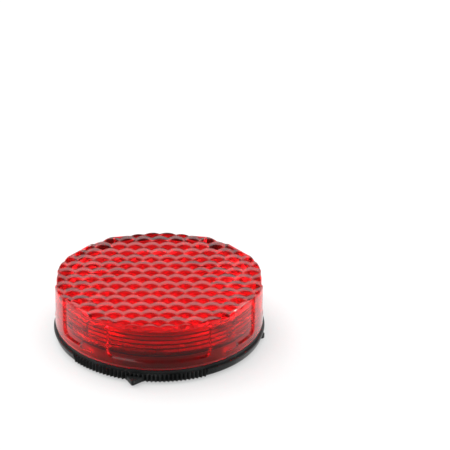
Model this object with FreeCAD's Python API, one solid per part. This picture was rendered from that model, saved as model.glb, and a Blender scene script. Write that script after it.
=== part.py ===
import FreeCAD, Part
import math
import os

# Round stick-on warning flasher: a black base with a twist-on red lens over a coin cell board.
# Millimetres. Origin on the lamp's axis at the face that sticks down, +Z out through the
# lens, and the moulded pointer on the rim of the base aims along -Y. Angles are degrees,
# counterclockwise seen from the lens side.

POINTER_ANGLE = -90.0
FAR_ANGLE = POINTER_ANGLE + 180.0

# How far joined solids reach into each other, and how far cutters run past a face
EMBED = 0.2
OVERRUN = 0.5

# Coin cell, 20 mm by 3.2 mm, lying cap down in its holder. Every radius builds out from it.
CELL_RADIUS = 10.0
CELL_HEIGHT = 3.20
CELL_CAP_INSET = 1.4
CELL_CAP_DROP = 0.25
CELL_CAN_WALL = 0.30
CELL_CAN_BREAK = 0.25
CELL_GASKET = 0.40
HOLDER_FIT = 0.15
HOLDER_WALL = 0.80
HOLDER_HEIGHT = 2.40
LEDGE_WIDTH = 0.85
LEDGE_HEIGHT = 0.60
PRY_NOTCH = 44.0

# Circuit board: the band outside the cell holder carries the small parts
PARTS_BAND = 3.65
BOARD_CLEARANCE = 0.30
BOARD_THICKNESS = 0.80
KEY_WIDTH = 1.6
KEY_DEPTH = 0.8
KEY_FIT = 0.1

# Base: a flanged plate with a collar and an inner spigot standing on it
SPIGOT_THICKNESS = 1.20
SPIGOT_HEIGHT = 2.75
SPIGOT_FIT = 0.20
SEAT_WIDTH = 1.00
SEAT_HEIGHT = 0.85
FLANGE_STEP = 0.30
FLANGE_TAPER = 0.35
FLANGE_HEIGHT = 1.35
FLANGE_LAND = 0.20
FLANGE_BREAK = 0.10
COLLAR_INSET = 0.15
COLLAR_THICKNESS = 0.55
COLLAR_HEIGHT = 0.60
COLLAR_WINDOW = 78.0

# Stick-on pad, let into the back of the base
PAD_MARGIN = 3.0
LINER_THICKNESS = 0.12
PAD_THICKNESS = 0.78
RECESS_DEPTH = 0.40
RECESS_CLEARANCE = 0.35

# Rim details of the base
KNURL_COUNT = 35
KNURL_PITCH = 2.2
KNURL_ROOT = 0.6
POINT_HEIGHT = 0.85
POINTER_WIDTH = 2.7
POINTER_REACH = 1.6
POINTER_TIP_RADIUS = 0.25
NUB_WIDTH = 1.0
NUB_REACH = 0.35
NUB_TIP_RADIUS = 0.1
NUB_OFFSET = 91.0

# Lens cap
LENS_WALL = 1.7
LENS_DRAFT = 0.1
LENS_BORE_DRAFT = 0.3
LENS_EDGE_BREAK = 0.30
LENS_LIFT = 0.05
LENS_HEIGHT = 8.10
LENS_CEILING_THICKNESS = 1.70
SKIRT_GAP = 0.20
SKIRT_FLOOR_GAP = 0.10
LENS_CLOCKING = 12.6

# Honeycomb of low domes on the lens face
DOME_PITCH = 2.92
DOME_RELIEF = 0.35
DOME_CREST_SCALE = 0.40

# Recessed windows round the lens wall, as (offset from the first wide window, width)
WIDE_WINDOW = 56.0
NARROW_WINDOW = 18.0
WINDOW_OFFSETS = [(0.0, WIDE_WINDOW), (180.0, WIDE_WINDOW)] + [
    (side * offset, NARROW_WINDOW) for side in (-1, 1) for offset in (54.0, 90.0, 126.0)]
WINDOW_DEPTH = 0.35
WINDOW_SILL = 1.60
WINDOW_CORNER = 1.1

# Light-spreading flutes round the inside of the lens wall
FLUTE_COUNT = 5
FLUTE_PITCH = 0.76
FLUTE_DEPTH = 0.22
FLUTE_START = 0.15

# Twist lock: four lugs inside the lens run in slots round the spigot
LUG_COUNT = 4
LUG_WIDTH = 10.0
LUG_REACH = 0.70
LUG_HEIGHT = 0.80
LUG_CLEARANCE = 0.10
TWIST_CLOSE = 12.0
TWIST_OPEN = 13.0
TWIST_MARGIN = 0.6
SLOT_ROOF = 0.70

# Self-tapping board screws
SCREW_ANGLES = (54.0, 198.0, 342.0)
SCREW_RADIUS = 0.70
SCREW_FIT = 0.02
SCREW_HEAD_RADIUS = 1.25
SCREW_HEAD_HEIGHT = 0.65
SCREW_HEAD_BREAK = 0.3
SCREW_LENGTH = 2.20
SCREW_POINT = 0.5
SCREW_POINT_RADIUS = 0.25
SCREW_HOLE_SPARE = 0.10
DRIVE_WIDTH = 0.30
DRIVE_LENGTH = 1.5
DRIVE_DEPTH = 0.35
BOARD_HOLE_FIT = 0.15
BOSS_WALL = 1.2

# Spring-steel contacts
CLIP_THICKNESS = 0.25
CLIP_WIDTH = 2.6
CLIP_GAP = 0.05
CLIP_FOOT = 1.15
SPRING_THICKNESS = 0.12
SPRING_WIDTH = 3.0
SPRING_LENGTH = 9.0
SPRING_TIP = 0.8

# Surface-mount lamps, one round window in each white package
LED_COUNT = 5
LED_FIRST_ANGLE = 18.0
LED_STEP = 360.0 / LED_COUNT
LED_DEPTH = 2.8
LED_LENGTH = 3.1
LED_HEIGHT = 1.75
LED_WINDOW_RADIUS = 1.15
LED_WINDOW_DEPTH = 0.45
TERMINAL_THICKNESS = 0.15
TERMINAL_WIDTH = 2.2
TERMINAL_FOOT = 0.95
TERMINAL_RISE = 1.0

# Magnet switch: two reeds sealed in a glass tube beside the pointer
REED_LENGTH = 7.0
REED_RADIUS = 0.90
REED_WALL = 0.22
REED_END_BREAK = 0.5
REED_SEAL = 1.0
REED_STANDOFF = 0.20
LEAD_WIDTH = 0.40
LEAD_SPAN = 4.6
LEAD_TAIL = 0.35
LEAD_HOLE_FIT = 0.10
BLADE_THICKNESS = 0.14
BLADE_WIDTH = 0.70
BLADE_GAP = 0.10
BLADE_OVERLAP = 0.8

# Controller and small chip parts
CHIP_ANGLE = 126.0
CHIP_DEPTH = 1.6
CHIP_LENGTH = 2.9
CHIP_HEIGHT = 1.0
CHIP_STANDOFF = 0.10
PIN_PITCH = 0.95
PIN_WIDTH = 0.40
PIN_THICKNESS = 0.15
PIN_REACH = 0.60
PIN_RISE = 0.55
RESISTOR_ANGLES = (36.0, 108.0, 144.0, 216.0, 324.0)
RESISTOR_SIZE = (0.8, 1.6, 0.45)
CAPACITOR_ANGLE = 72.0
CAPACITOR_SIZE = (0.8, 1.6, 0.80)

# Radii that follow, from the cell outwards
HOLDER_INNER = CELL_RADIUS + HOLDER_FIT
HOLDER_OUTER = HOLDER_INNER + HOLDER_WALL
BOARD_RADIUS = HOLDER_OUTER + PARTS_BAND
PART_CIRCLE = (HOLDER_OUTER + BOARD_RADIUS) / 2
SPIGOT_INNER = BOARD_RADIUS + BOARD_CLEARANCE
SPIGOT_OUTER = SPIGOT_INNER + SPIGOT_THICKNESS
LENS_BORE = SPIGOT_OUTER + SPIGOT_FIT
LENS_TOP_BORE = LENS_BORE - LENS_BORE_DRAFT
LENS_RADIUS = LENS_BORE + LENS_WALL
LENS_TOP_RADIUS = LENS_RADIUS - LENS_DRAFT
LUG_INNER = LENS_BORE - LUG_REACH
SLOT_INNER = LUG_INNER - LUG_CLEARANCE
COLLAR_OUTER = LENS_RADIUS - COLLAR_INSET
COLLAR_INNER = COLLAR_OUTER - COLLAR_THICKNESS
SKIRT_OUTER = COLLAR_INNER - SKIRT_GAP
FLANGE_RADIUS = LENS_RADIUS + FLANGE_STEP
FLANGE_FOOT_RADIUS = FLANGE_RADIUS - FLANGE_TAPER
PAD_RADIUS = FLANGE_FOOT_RADIUS - PAD_MARGIN
WINDOW_AXIS = POINTER_ANGLE + LENS_CLOCKING

# Heights that follow, from the stuck face up
PAD_TOP = LINER_THICKNESS + PAD_THICKNESS
BASE_FOOT = PAD_TOP - RECESS_DEPTH
PLATE_TOP = BASE_FOOT + FLANGE_HEIGHT
COLLAR_TOP = PLATE_TOP + COLLAR_HEIGHT
SPIGOT_TOP = PLATE_TOP + SPIGOT_HEIGHT
LENS_FOOT = COLLAR_TOP + LENS_LIFT
LENS_CREST = LENS_FOOT + LENS_HEIGHT
LENS_VALLEY = LENS_CREST - DOME_RELIEF
LENS_CEILING = LENS_CREST - LENS_CEILING_THICKNESS
SLOT_TOP = SPIGOT_TOP - SLOT_ROOF
SLOT_FLOOR = SLOT_TOP - LUG_HEIGHT - 2 * LUG_CLEARANCE
BOARD_FOOT = PLATE_TOP + SEAT_HEIGHT
BOARD_TOP = BOARD_FOOT + BOARD_THICKNESS
CELL_RIM = BOARD_TOP + LEDGE_HEIGHT
CELL_FOOT = CELL_RIM - CELL_CAP_DROP
CELL_TOP = CELL_FOOT + CELL_HEIGHT
REED_HEIGHT = BOARD_TOP + REED_STANDOFF + REED_RADIUS

AXIS = FreeCAD.Vector(0, 0, 1)
ORIGIN = FreeCAD.Vector(0, 0, 0)


def polar(radius, angle, height):
    """A point given by its distance from the lamp's axis, its angle and its height."""
    turn = math.radians(angle)
    return FreeCAD.Vector(radius * math.cos(turn), radius * math.sin(turn), height)


def disc(radius, bottom, top):
    return Part.makeCylinder(radius, top - bottom, FreeCAD.Vector(0, 0, bottom))


def ring(inner, outer, bottom, top):
    return disc(outer, bottom, top).cut(disc(inner, bottom, top))


def ring_sector(inner, outer, bottom, top, start, sweep):
    """A slice of a ring that starts at one angle and runs counterclockwise."""
    wedge = Part.makeCylinder(outer, top - bottom, FreeCAD.Vector(0, 0, bottom), AXIS, sweep)
    wedge.rotate(ORIGIN, AXIS, start)
    return wedge.cut(disc(inner, bottom, top))


def revolved(points):
    """A solid of revolution about Z from (radius, height) corners."""
    corners = [FreeCAD.Vector(radius, 0, height) for radius, height in points]
    face = Part.Face(Part.makePolygon(corners + corners[:1]))
    return face.revolve(ORIGIN, AXIS, 360)


def extruded(corners, direction):
    face = Part.Face(Part.makePolygon(corners + corners[:1]))
    return face.extrude(direction)


def block(size, centre_x, centre_y, bottom):
    """A box of (x, y, z) size, centred in plan and standing on one height."""
    corner = FreeCAD.Vector(centre_x - size[0] / 2, centre_y - size[1] / 2, bottom)
    return Part.makeBox(size[0], size[1], size[2], corner)


def on_part_circle(shape, angle):
    """Move a shape drawn about the origin out to the circle of parts on the board."""
    moved = shape.copy()
    moved.translate(FreeCAD.Vector(PART_CIRCLE, 0, 0))
    moved.rotate(ORIGIN, AXIS, angle)
    return moved


def save(name, shape):
    if not shape.isValid():
        raise ValueError(name + " is not valid")
    shape.exportStep("parts/" + name + ".step")
    print(name, "solids", len(shape.Solids), "volume", round(shape.Volume, 2))


# Base ---------------------------------------------------------------------------------


def knurl_band(centre):
    """One grip zone: a strip of fine upright teeth standing on the rim's root."""
    start = centre - KNURL_COUNT * KNURL_PITCH / 2
    root, tip = FLANGE_FOOT_RADIUS, FLANGE_RADIUS
    corners = [polar(root - KNURL_ROOT, start, BASE_FOOT), polar(root, start, BASE_FOOT)]
    for tooth in range(KNURL_COUNT):
        valley = start + tooth * KNURL_PITCH
        corners.append(polar(tip, valley + KNURL_PITCH / 2, BASE_FOOT))
        corners.append(polar(root, valley + KNURL_PITCH, BASE_FOOT))
    end = start + KNURL_COUNT * KNURL_PITCH
    corners.append(polar(root - KNURL_ROOT, end, BASE_FOOT))
    edges = [Part.makeLine(a, b) for a, b in zip(corners, corners[1:])]
    edges.append(Part.Arc(corners[-1], polar(root - KNURL_ROOT, centre, BASE_FOOT),
                          corners[0]).toShape())
    return Part.Face(Part.Wire(edges)).extrude(FreeCAD.Vector(0, 0, FLANGE_HEIGHT))


def knurl_relief(centre):
    """Cutter that takes the plain rim back to the teeth's root over one grip zone."""
    sweep = KNURL_COUNT * KNURL_PITCH
    return ring_sector(FLANGE_FOOT_RADIUS, FLANGE_RADIUS + OVERRUN, BASE_FOOT - OVERRUN,
                       PLATE_TOP + OVERRUN, centre - sweep / 2, sweep)


def rim_point(angle, width, reach, tip_radius):
    """A small triangular point that stands out of the rim."""
    root = FLANGE_FOOT_RADIUS - KNURL_ROOT
    edge = FLANGE_RADIUS - FLANGE_BREAK
    tip = FLANGE_RADIUS + reach
    half = width / 2
    corners = [FreeCAD.Vector(root, -half, BASE_FOOT), FreeCAD.Vector(edge, -half, BASE_FOOT),
               FreeCAD.Vector(tip, 0, BASE_FOOT), FreeCAD.Vector(edge, half, BASE_FOOT),
               FreeCAD.Vector(root, half, BASE_FOOT)]
    point = extruded(corners, FreeCAD.Vector(0, 0, POINT_HEIGHT))
    sharp = [e for e in point.Edges if e.CenterOfMass.x > tip - 0.001]
    point = point.makeFillet(tip_radius, sharp)
    point.rotate(ORIGIN, AXIS, angle)
    return point


def plate():
    """The turned plate: a tapered rim with a broken top edge and a recess in its back."""
    land = PLATE_TOP - FLANGE_BREAK - FLANGE_LAND
    recess = PAD_RADIUS + RECESS_CLEARANCE
    return revolved([(0, PAD_TOP), (recess, PAD_TOP), (recess, BASE_FOOT),
                     (FLANGE_FOOT_RADIUS, BASE_FOOT), (FLANGE_RADIUS, land),
                     (FLANGE_RADIUS, PLATE_TOP - FLANGE_BREAK),
                     (FLANGE_RADIUS - FLANGE_BREAK, PLATE_TOP), (0, PLATE_TOP)])


def lug_angle(lug):
    return WINDOW_AXIS + (lug + 0.5) * 360.0 / LUG_COUNT


def twist_slots():
    """Cutters for the lock: a level run for each lug and its way in from the top."""
    cutters = []
    reach = SPIGOT_OUTER + OVERRUN
    for lug in range(LUG_COUNT):
        centre = lug_angle(lug)
        start = centre - LUG_WIDTH / 2 - TWIST_CLOSE - TWIST_MARGIN
        end = centre + LUG_WIDTH / 2 + TWIST_OPEN + TWIST_MARGIN
        entry = end - LUG_WIDTH - 2 * TWIST_MARGIN
        cutters.append(ring_sector(SLOT_INNER, reach, SLOT_FLOOR, SLOT_TOP, start, end - start))
        cutters.append(ring_sector(SLOT_INNER, reach, SLOT_TOP - EMBED, SPIGOT_TOP + OVERRUN,
                                   entry, end - entry))
    return cutters


def boss(angle):
    radius = SCREW_RADIUS + BOSS_WALL
    return on_part_circle(disc(radius, PLATE_TOP - EMBED, BOARD_FOOT), angle)


def pilot_hole(angle):
    bottom = BOARD_TOP - SCREW_LENGTH - SCREW_HOLE_SPARE
    return on_part_circle(disc(SCREW_RADIUS + SCREW_FIT, bottom, BOARD_TOP), angle)


def board_key(clearance):
    """Rib inside the spigot that the notch in the board's edge drops over."""
    inner = SPIGOT_INNER - KEY_DEPTH - clearance
    outer = SPIGOT_INNER + EMBED
    size = (outer - inner, KEY_WIDTH + 2 * clearance, BOARD_TOP - PLATE_TOP)
    rib = block(size, (inner + outer) / 2, 0, PLATE_TOP)
    rib.rotate(ORIGIN, AXIS, FAR_ANGLE)
    return rib


def collar():
    """A low wall under the lens's edge, open over the grip zone opposite the pointer."""
    wall = ring(COLLAR_INNER, COLLAR_OUTER, PLATE_TOP - EMBED, COLLAR_TOP)
    window = ring_sector(COLLAR_INNER - EMBED, COLLAR_OUTER + EMBED, PLATE_TOP,
                         COLLAR_TOP + OVERRUN, FAR_ANGLE - COLLAR_WINDOW / 2, COLLAR_WINDOW)
    return wall.cut(window)


def base_shell():
    zones = (POINTER_ANGLE, FAR_ANGLE)
    shell = plate().cut([knurl_relief(centre) for centre in zones])
    added = [collar(),
             ring(SPIGOT_INNER, SPIGOT_OUTER, PLATE_TOP - EMBED, SPIGOT_TOP),
             ring(SPIGOT_INNER - SEAT_WIDTH, SPIGOT_INNER + EMBED, PLATE_TOP - EMBED, BOARD_FOOT),
             board_key(0.0),
             rim_point(POINTER_ANGLE, POINTER_WIDTH, POINTER_REACH, POINTER_TIP_RADIUS)]
    added += [knurl_band(centre) for centre in zones]
    added += [rim_point(POINTER_ANGLE + side * NUB_OFFSET, NUB_WIDTH, NUB_REACH, NUB_TIP_RADIUS)
              for side in (-1, 1)]
    added += [boss(angle) for angle in SCREW_ANGLES]
    shell = shell.fuse(added)
    return shell.cut(twist_slots() + [pilot_hole(angle) for angle in SCREW_ANGLES])


# Stick-on pad -------------------------------------------------------------------------


def foam_pad():
    return disc(PAD_RADIUS, LINER_THICKNESS, PAD_TOP)


def release_liner():
    return disc(PAD_RADIUS, 0, LINER_THICKNESS)


# Lens cap -----------------------------------------------------------------------------


def bore_radius(height):
    """The bore is straight beside the spigot and tapers in above it."""
    rise = (height - SPIGOT_TOP) / (LENS_CEILING - SPIGOT_TOP)
    return LENS_BORE - max(0.0, rise) * LENS_BORE_DRAFT


def flute_profile():
    """Corners of the inner wall's V flutes, from the lowest one up to the ceiling."""
    top = LENS_CEILING - FLUTE_START
    corners = [(bore_radius(top), top)]
    for flute in range(FLUTE_COUNT):
        middle = top - (flute + 0.5) * FLUTE_PITCH
        foot = top - (flute + 1) * FLUTE_PITCH
        corners.append((bore_radius(middle) + FLUTE_DEPTH, middle))
        corners.append((bore_radius(foot), foot))
    return corners[::-1]


def lens_envelope():
    """The cap without its honeycomb: skirt, tapered wall, flutes and a thick ceiling."""
    skirt_foot = PLATE_TOP + SKIRT_FLOOR_GAP
    outer = [(0, LENS_CREST), (LENS_TOP_RADIUS - LENS_EDGE_BREAK, LENS_CREST),
             (LENS_TOP_RADIUS, LENS_VALLEY - LENS_EDGE_BREAK),
             (LENS_RADIUS, LENS_FOOT), (SKIRT_OUTER, LENS_FOOT), (SKIRT_OUTER, skirt_foot),
             (LENS_BORE, skirt_foot), (LENS_BORE, SPIGOT_TOP)]
    inner = [(LENS_TOP_BORE, LENS_CEILING), (0, LENS_CEILING)]
    return revolved(outer + flute_profile() + inner)


def dome_rings(centre):
    """Corner points of one low hexagonal dome: its foot ring and its crest ring."""
    foot, top = [], []
    reach = DOME_PITCH / math.sqrt(3.0)
    for corner in range(6):
        step = polar(reach, WINDOW_AXIS + 60.0 * corner, 0)
        foot.append(centre + step + FreeCAD.Vector(0, 0, LENS_VALLEY))
        top.append(centre + step * DOME_CREST_SCALE + FreeCAD.Vector(0, 0, LENS_CREST))
    return foot, top


def dome_centres():
    """A hexagonal lattice with its rows square to the axis of the wide windows."""
    along = polar(DOME_PITCH, WINDOW_AXIS + 90.0, 0)
    across = polar(DOME_PITCH, WINDOW_AXIS + 150.0, 0)
    span = int(2 * LENS_RADIUS / DOME_PITCH)
    steps = range(-span, span + 1)
    centres = [along * i + across * j for i in steps for j in steps]
    return [centre for centre in centres if centre.Length < LENS_RADIUS + DOME_PITCH]


def toggle_edge(open_edges, start, end):
    """Keep an edge that one dome has, and drop it when the next dome has it too."""
    name = frozenset((round(p.x, 3), round(p.y, 3)) for p in (start, end))
    if name in open_edges:
        del open_edges[name]
    else:
        open_edges[name] = (start, end)


def honeycomb_block():
    """A block wider than the lens whose top is the whole honeycomb and whose foot is flat."""
    faces, open_edges = [], {}
    for centre in dome_centres():
        foot, top = dome_rings(centre)
        faces.append(Part.Face(Part.makePolygon(top + top[:1])))
        for here in range(6):
            after = (here + 1) % 6
            side = [foot[here], foot[after], top[after], top[here]]
            faces.append(Part.Face(Part.makePolygon(side + side[:1])))
            toggle_edge(open_edges, foot[here], foot[after])
    border = list(open_edges.values())
    drop = FreeCAD.Vector(0, 0, -LENS_CREST)
    faces += [Part.makeLine(start, end).extrude(drop) for start, end in border]
    lower = [Part.makeLine(start + drop, end + drop) for start, end in border]
    faces.append(Part.Face(Part.Wire(Part.sortEdges(lower)[0])))
    shell = Part.Shell(faces)
    shell.sewShape()
    return Part.Solid(shell)


def window_floor():
    """What the windows leave standing: the lens wall, less their depth, to above the top."""
    above = LENS_CREST + 2 * OVERRUN
    return revolved([(0, LENS_FOOT), (LENS_RADIUS - WINDOW_DEPTH, LENS_FOOT),
                     (LENS_TOP_RADIUS - WINDOW_DEPTH, LENS_CREST),
                     (LENS_TOP_RADIUS - WINDOW_DEPTH, above), (0, above)])


def lens_window(offset, width):
    """Cutter for one shallow window with rounded lower corners, open at the top."""
    bottom = LENS_FOOT + WINDOW_SILL
    corner = bottom + WINDOW_CORNER
    rounding = math.degrees(WINDOW_CORNER / LENS_RADIUS)
    inner, outer = LENS_RADIUS - LENS_WALL, LENS_RADIUS + OVERRUN
    slab = ring_sector(inner, outer, bottom, LENS_CREST + OVERRUN, -width / 2, width)
    for side in (-1, 1):
        centre = side * (width / 2 - rounding)
        start = centre if side > 0 else -width / 2
        notch = ring_sector(inner, outer, bottom, corner, start, rounding)
        round_off = Part.makeCylinder(WINDOW_CORNER, outer - inner, polar(inner, centre, corner),
                                      polar(1.0, centre, 0))
        slab = slab.cut(notch.cut(round_off))
    slab = slab.cut(window_floor())
    slab.rotate(ORIGIN, AXIS, WINDOW_AXIS + offset)
    return slab


def twist_lug(lug):
    bottom = SLOT_FLOOR + LUG_CLEARANCE
    return ring_sector(LUG_INNER, LENS_BORE + EMBED, bottom, bottom + LUG_HEIGHT,
                       lug_angle(lug) - LUG_WIDTH / 2, LUG_WIDTH)


def lens_cap():
    cap = lens_envelope().common(honeycomb_block())
    cap = cap.cut([lens_window(offset, width) for offset, width in WINDOW_OFFSETS])
    return cap.fuse([twist_lug(lug) for lug in range(LUG_COUNT)])


# Board and screws ---------------------------------------------------------------------


def circuit_board():
    hole = SCREW_RADIUS + BOARD_HOLE_FIT
    cutters = [on_part_circle(disc(hole, BOARD_FOOT, BOARD_TOP), angle) for angle in SCREW_ANGLES]
    for side in (-1, 1):
        drill = disc(LEAD_WIDTH / 2 + LEAD_HOLE_FIT, BOARD_FOOT, BOARD_TOP)
        drill.translate(FreeCAD.Vector(side * LEAD_SPAN, -PART_CIRCLE, 0))
        cutters.append(drill)
    return disc(BOARD_RADIUS, BOARD_FOOT, BOARD_TOP).cut(cutters + [board_key(KEY_FIT)])


def board_screw(angle):
    """A self-tapping pan-head screw with a cross drive."""
    head_top = BOARD_TOP + SCREW_HEAD_HEIGHT
    point = BOARD_TOP - SCREW_LENGTH
    body = revolved([(0, point), (SCREW_POINT_RADIUS, point), (SCREW_RADIUS, point + SCREW_POINT),
                     (SCREW_RADIUS, BOARD_TOP), (SCREW_HEAD_RADIUS, BOARD_TOP),
                     (SCREW_HEAD_RADIUS, head_top - SCREW_HEAD_BREAK),
                     (SCREW_HEAD_RADIUS - SCREW_HEAD_BREAK, head_top), (0, head_top)])
    drive_foot = head_top - DRIVE_DEPTH
    bars = [block((DRIVE_LENGTH, DRIVE_WIDTH, SCREW_HEAD_HEIGHT), 0, 0, drive_foot),
            block((DRIVE_WIDTH, DRIVE_LENGTH, SCREW_HEAD_HEIGHT), 0, 0, drive_foot)]
    return on_part_circle(body.cut(bars), angle)


# Coin cell and its holder -------------------------------------------------------------


def cell_can():
    inner = CELL_RADIUS - CELL_CAN_WALL
    roof = CELL_TOP - CELL_CAN_WALL
    return revolved([(inner, CELL_RIM), (CELL_RADIUS, CELL_RIM),
                     (CELL_RADIUS, CELL_TOP - CELL_CAN_BREAK),
                     (CELL_RADIUS - CELL_CAN_BREAK, CELL_TOP), (0, CELL_TOP), (0, roof),
                     (inner, roof)])


def cell_cap():
    """The negative cap: a shallow pan let into the can behind the gasket."""
    outer = CELL_RADIUS - CELL_CAN_WALL - CELL_GASKET
    top = CELL_TOP - CELL_CAN_WALL - CELL_GASKET
    return revolved([(0, CELL_FOOT), (CELL_RADIUS - CELL_CAP_INSET, CELL_FOOT), (outer, CELL_RIM),
                     (outer, top), (0, top)])


def cell_gasket():
    outer = CELL_RADIUS - CELL_CAN_WALL
    return ring(outer - CELL_GASKET, outer, CELL_RIM, CELL_TOP - CELL_CAN_WALL - CELL_GASKET)


def cell_holder():
    """A round cradle with a ledge under the cell's rim and a notch for prying the cell out."""
    top = BOARD_TOP + HOLDER_HEIGHT
    ledge = HOLDER_INNER - LEDGE_WIDTH
    cradle = revolved([(ledge, BOARD_TOP), (HOLDER_OUTER, BOARD_TOP), (HOLDER_OUTER, top),
                       (HOLDER_INNER, top), (HOLDER_INNER, CELL_RIM), (ledge, CELL_RIM)])
    notch = ring_sector(HOLDER_INNER, HOLDER_OUTER + OVERRUN, CELL_RIM, top + OVERRUN,
                        FAR_ANGLE - PRY_NOTCH / 2, PRY_NOTCH)
    return cradle.cut(notch)


def positive_clip():
    """A strap over the cell with a soldered foot at each end."""
    inner = HOLDER_OUTER + CLIP_GAP
    outer = inner + CLIP_THICKNESS
    toe = outer + CLIP_FOOT
    foot_top = BOARD_TOP + CLIP_THICKNESS
    half = [(inner, BOARD_TOP), (toe, BOARD_TOP), (toe, foot_top), (outer, foot_top),
            (outer, CELL_TOP + CLIP_THICKNESS)]
    outline = half + [(-x, z) for x, z in half[::-1]] + [(-inner, CELL_TOP), (inner, CELL_TOP)]
    corners = [FreeCAD.Vector(x, -CLIP_WIDTH / 2, z) for x, z in outline]
    return extruded(corners, FreeCAD.Vector(0, CLIP_WIDTH, 0))


def negative_spring():
    """A bowed leaf: a flat soldered middle with both ends lifted to the cell's cap."""
    half = SPRING_LENGTH / 2
    flat = SPRING_WIDTH / 2
    lift = CELL_FOOT - SPRING_THICKNESS
    lower = [(-half, lift), (-half + SPRING_TIP, lift), (-flat, BOARD_TOP), (flat, BOARD_TOP),
             (half - SPRING_TIP, lift), (half, lift)]
    upper = [(x, z + SPRING_THICKNESS) for x, z in lower[::-1]]
    corners = [FreeCAD.Vector(x, -SPRING_WIDTH / 2, z) for x, z in lower + upper]
    return extruded(corners, FreeCAD.Vector(0, SPRING_WIDTH, 0))


# Lamps --------------------------------------------------------------------------------


def led_package(angle):
    foot = BOARD_TOP + TERMINAL_THICKNESS
    body = block((LED_DEPTH, LED_LENGTH, LED_HEIGHT), 0, 0, foot)
    well = disc(LED_WINDOW_RADIUS, foot + LED_HEIGHT - LED_WINDOW_DEPTH, foot + LED_HEIGHT)
    return on_part_circle(body.cut(well), angle)


def led_window(angle):
    top = BOARD_TOP + TERMINAL_THICKNESS + LED_HEIGHT
    return on_part_circle(disc(LED_WINDOW_RADIUS, top - LED_WINDOW_DEPTH, top), angle)


def led_terminals(angle):
    """Two L-shaped terminals, each under one end of the package and up its side."""
    pair = []
    for side in (-1, 1):
        outer_y = LED_LENGTH / 2 + TERMINAL_THICKNESS
        foot = block((TERMINAL_WIDTH, TERMINAL_FOOT, TERMINAL_THICKNESS), 0,
                     side * (outer_y - TERMINAL_FOOT / 2), BOARD_TOP)
        riser = block((TERMINAL_WIDTH, TERMINAL_THICKNESS, TERMINAL_RISE), 0,
                      side * (outer_y - TERMINAL_THICKNESS / 2), BOARD_TOP)
        pair.append(on_part_circle(foot.fuse(riser).removeSplitter(), angle))
    return Part.makeCompound(pair)


# Magnet switch ------------------------------------------------------------------------


def reed_profile(points):
    """A solid turned about the switch's own axis, from (distance along, radius) corners."""
    corners = [FreeCAD.Vector(along, -PART_CIRCLE, REED_HEIGHT + radius)
               for along, radius in points]
    face = Part.Face(Part.makePolygon(corners + corners[:1]))
    return face.revolve(FreeCAD.Vector(0, -PART_CIRCLE, REED_HEIGHT), FreeCAD.Vector(1, 0, 0), 360)


def reed_glass():
    """A glass tube with its ends drawn in and sealed round the two square leads."""
    half = REED_LENGTH / 2
    bore = REED_RADIUS - REED_WALL
    outer = [(-half, 0), (-half, REED_RADIUS - REED_END_BREAK),
             (-half + REED_END_BREAK, REED_RADIUS)]
    outer += [(-along, radius) for along, radius in outer[::-1]]
    sealed = half - REED_SEAL
    cavity = reed_profile([(-sealed, 0), (-sealed, bore), (sealed, bore), (sealed, 0)])
    channel = block((REED_LENGTH, LEAD_WIDTH, LEAD_WIDTH), 0, -PART_CIRCLE,
                    REED_HEIGHT - LEAD_WIDTH / 2)
    return reed_profile(outer).cut([cavity, channel])


def reed_lead(side):
    """One lead of the switch: a flat blade inside the glass and a square tail bent down."""
    sealed = REED_LENGTH / 2 - REED_SEAL
    half = LEAD_WIDTH / 2
    out, back = LEAD_SPAN + half, LEAD_SPAN - half
    top, foot = REED_HEIGHT + half, BOARD_FOOT - LEAD_TAIL
    outline = [(sealed, top), (out - LEAD_WIDTH, top), (out, top - LEAD_WIDTH), (out, foot),
               (back, foot), (back, top - LEAD_WIDTH), (sealed, top - LEAD_WIDTH)]
    corners = [FreeCAD.Vector(side * x, -PART_CIRCLE - half, z) for x, z in outline]
    tail = extruded(corners, FreeCAD.Vector(0, LEAD_WIDTH, 0))
    reach = sealed + BLADE_OVERLAP / 2
    lower = REED_HEIGHT + (BLADE_GAP / 2 if side > 0 else -BLADE_GAP / 2 - BLADE_THICKNESS)
    blade = block((reach, BLADE_WIDTH, BLADE_THICKNESS), side * (sealed - reach / 2),
                  -PART_CIRCLE, lower)
    return tail.fuse(blade)


# Controller and chip parts ------------------------------------------------------------


def controller_chip():
    body = block((CHIP_DEPTH, CHIP_LENGTH, CHIP_HEIGHT), 0, 0, BOARD_TOP + CHIP_STANDOFF)
    return on_part_circle(body, CHIP_ANGLE)


def controller_pins():
    """Three bent pins along each long side of the controller."""
    pins = []
    edge = CHIP_DEPTH / 2
    for side in (-1, 1):
        for place in (-1, 0, 1):
            foot = block((PIN_REACH, PIN_WIDTH, PIN_THICKNESS), side * (edge + PIN_REACH / 2),
                         place * PIN_PITCH, BOARD_TOP)
            riser = block((PIN_THICKNESS, PIN_WIDTH, PIN_RISE),
                          side * (edge + PIN_THICKNESS / 2), place * PIN_PITCH, BOARD_TOP)
            pins.append(on_part_circle(foot.fuse(riser).removeSplitter(), CHIP_ANGLE))
    return Part.makeCompound(pins)


def chip_part(size, angle):
    return on_part_circle(block(size, 0, 0, BOARD_TOP), angle)


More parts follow.
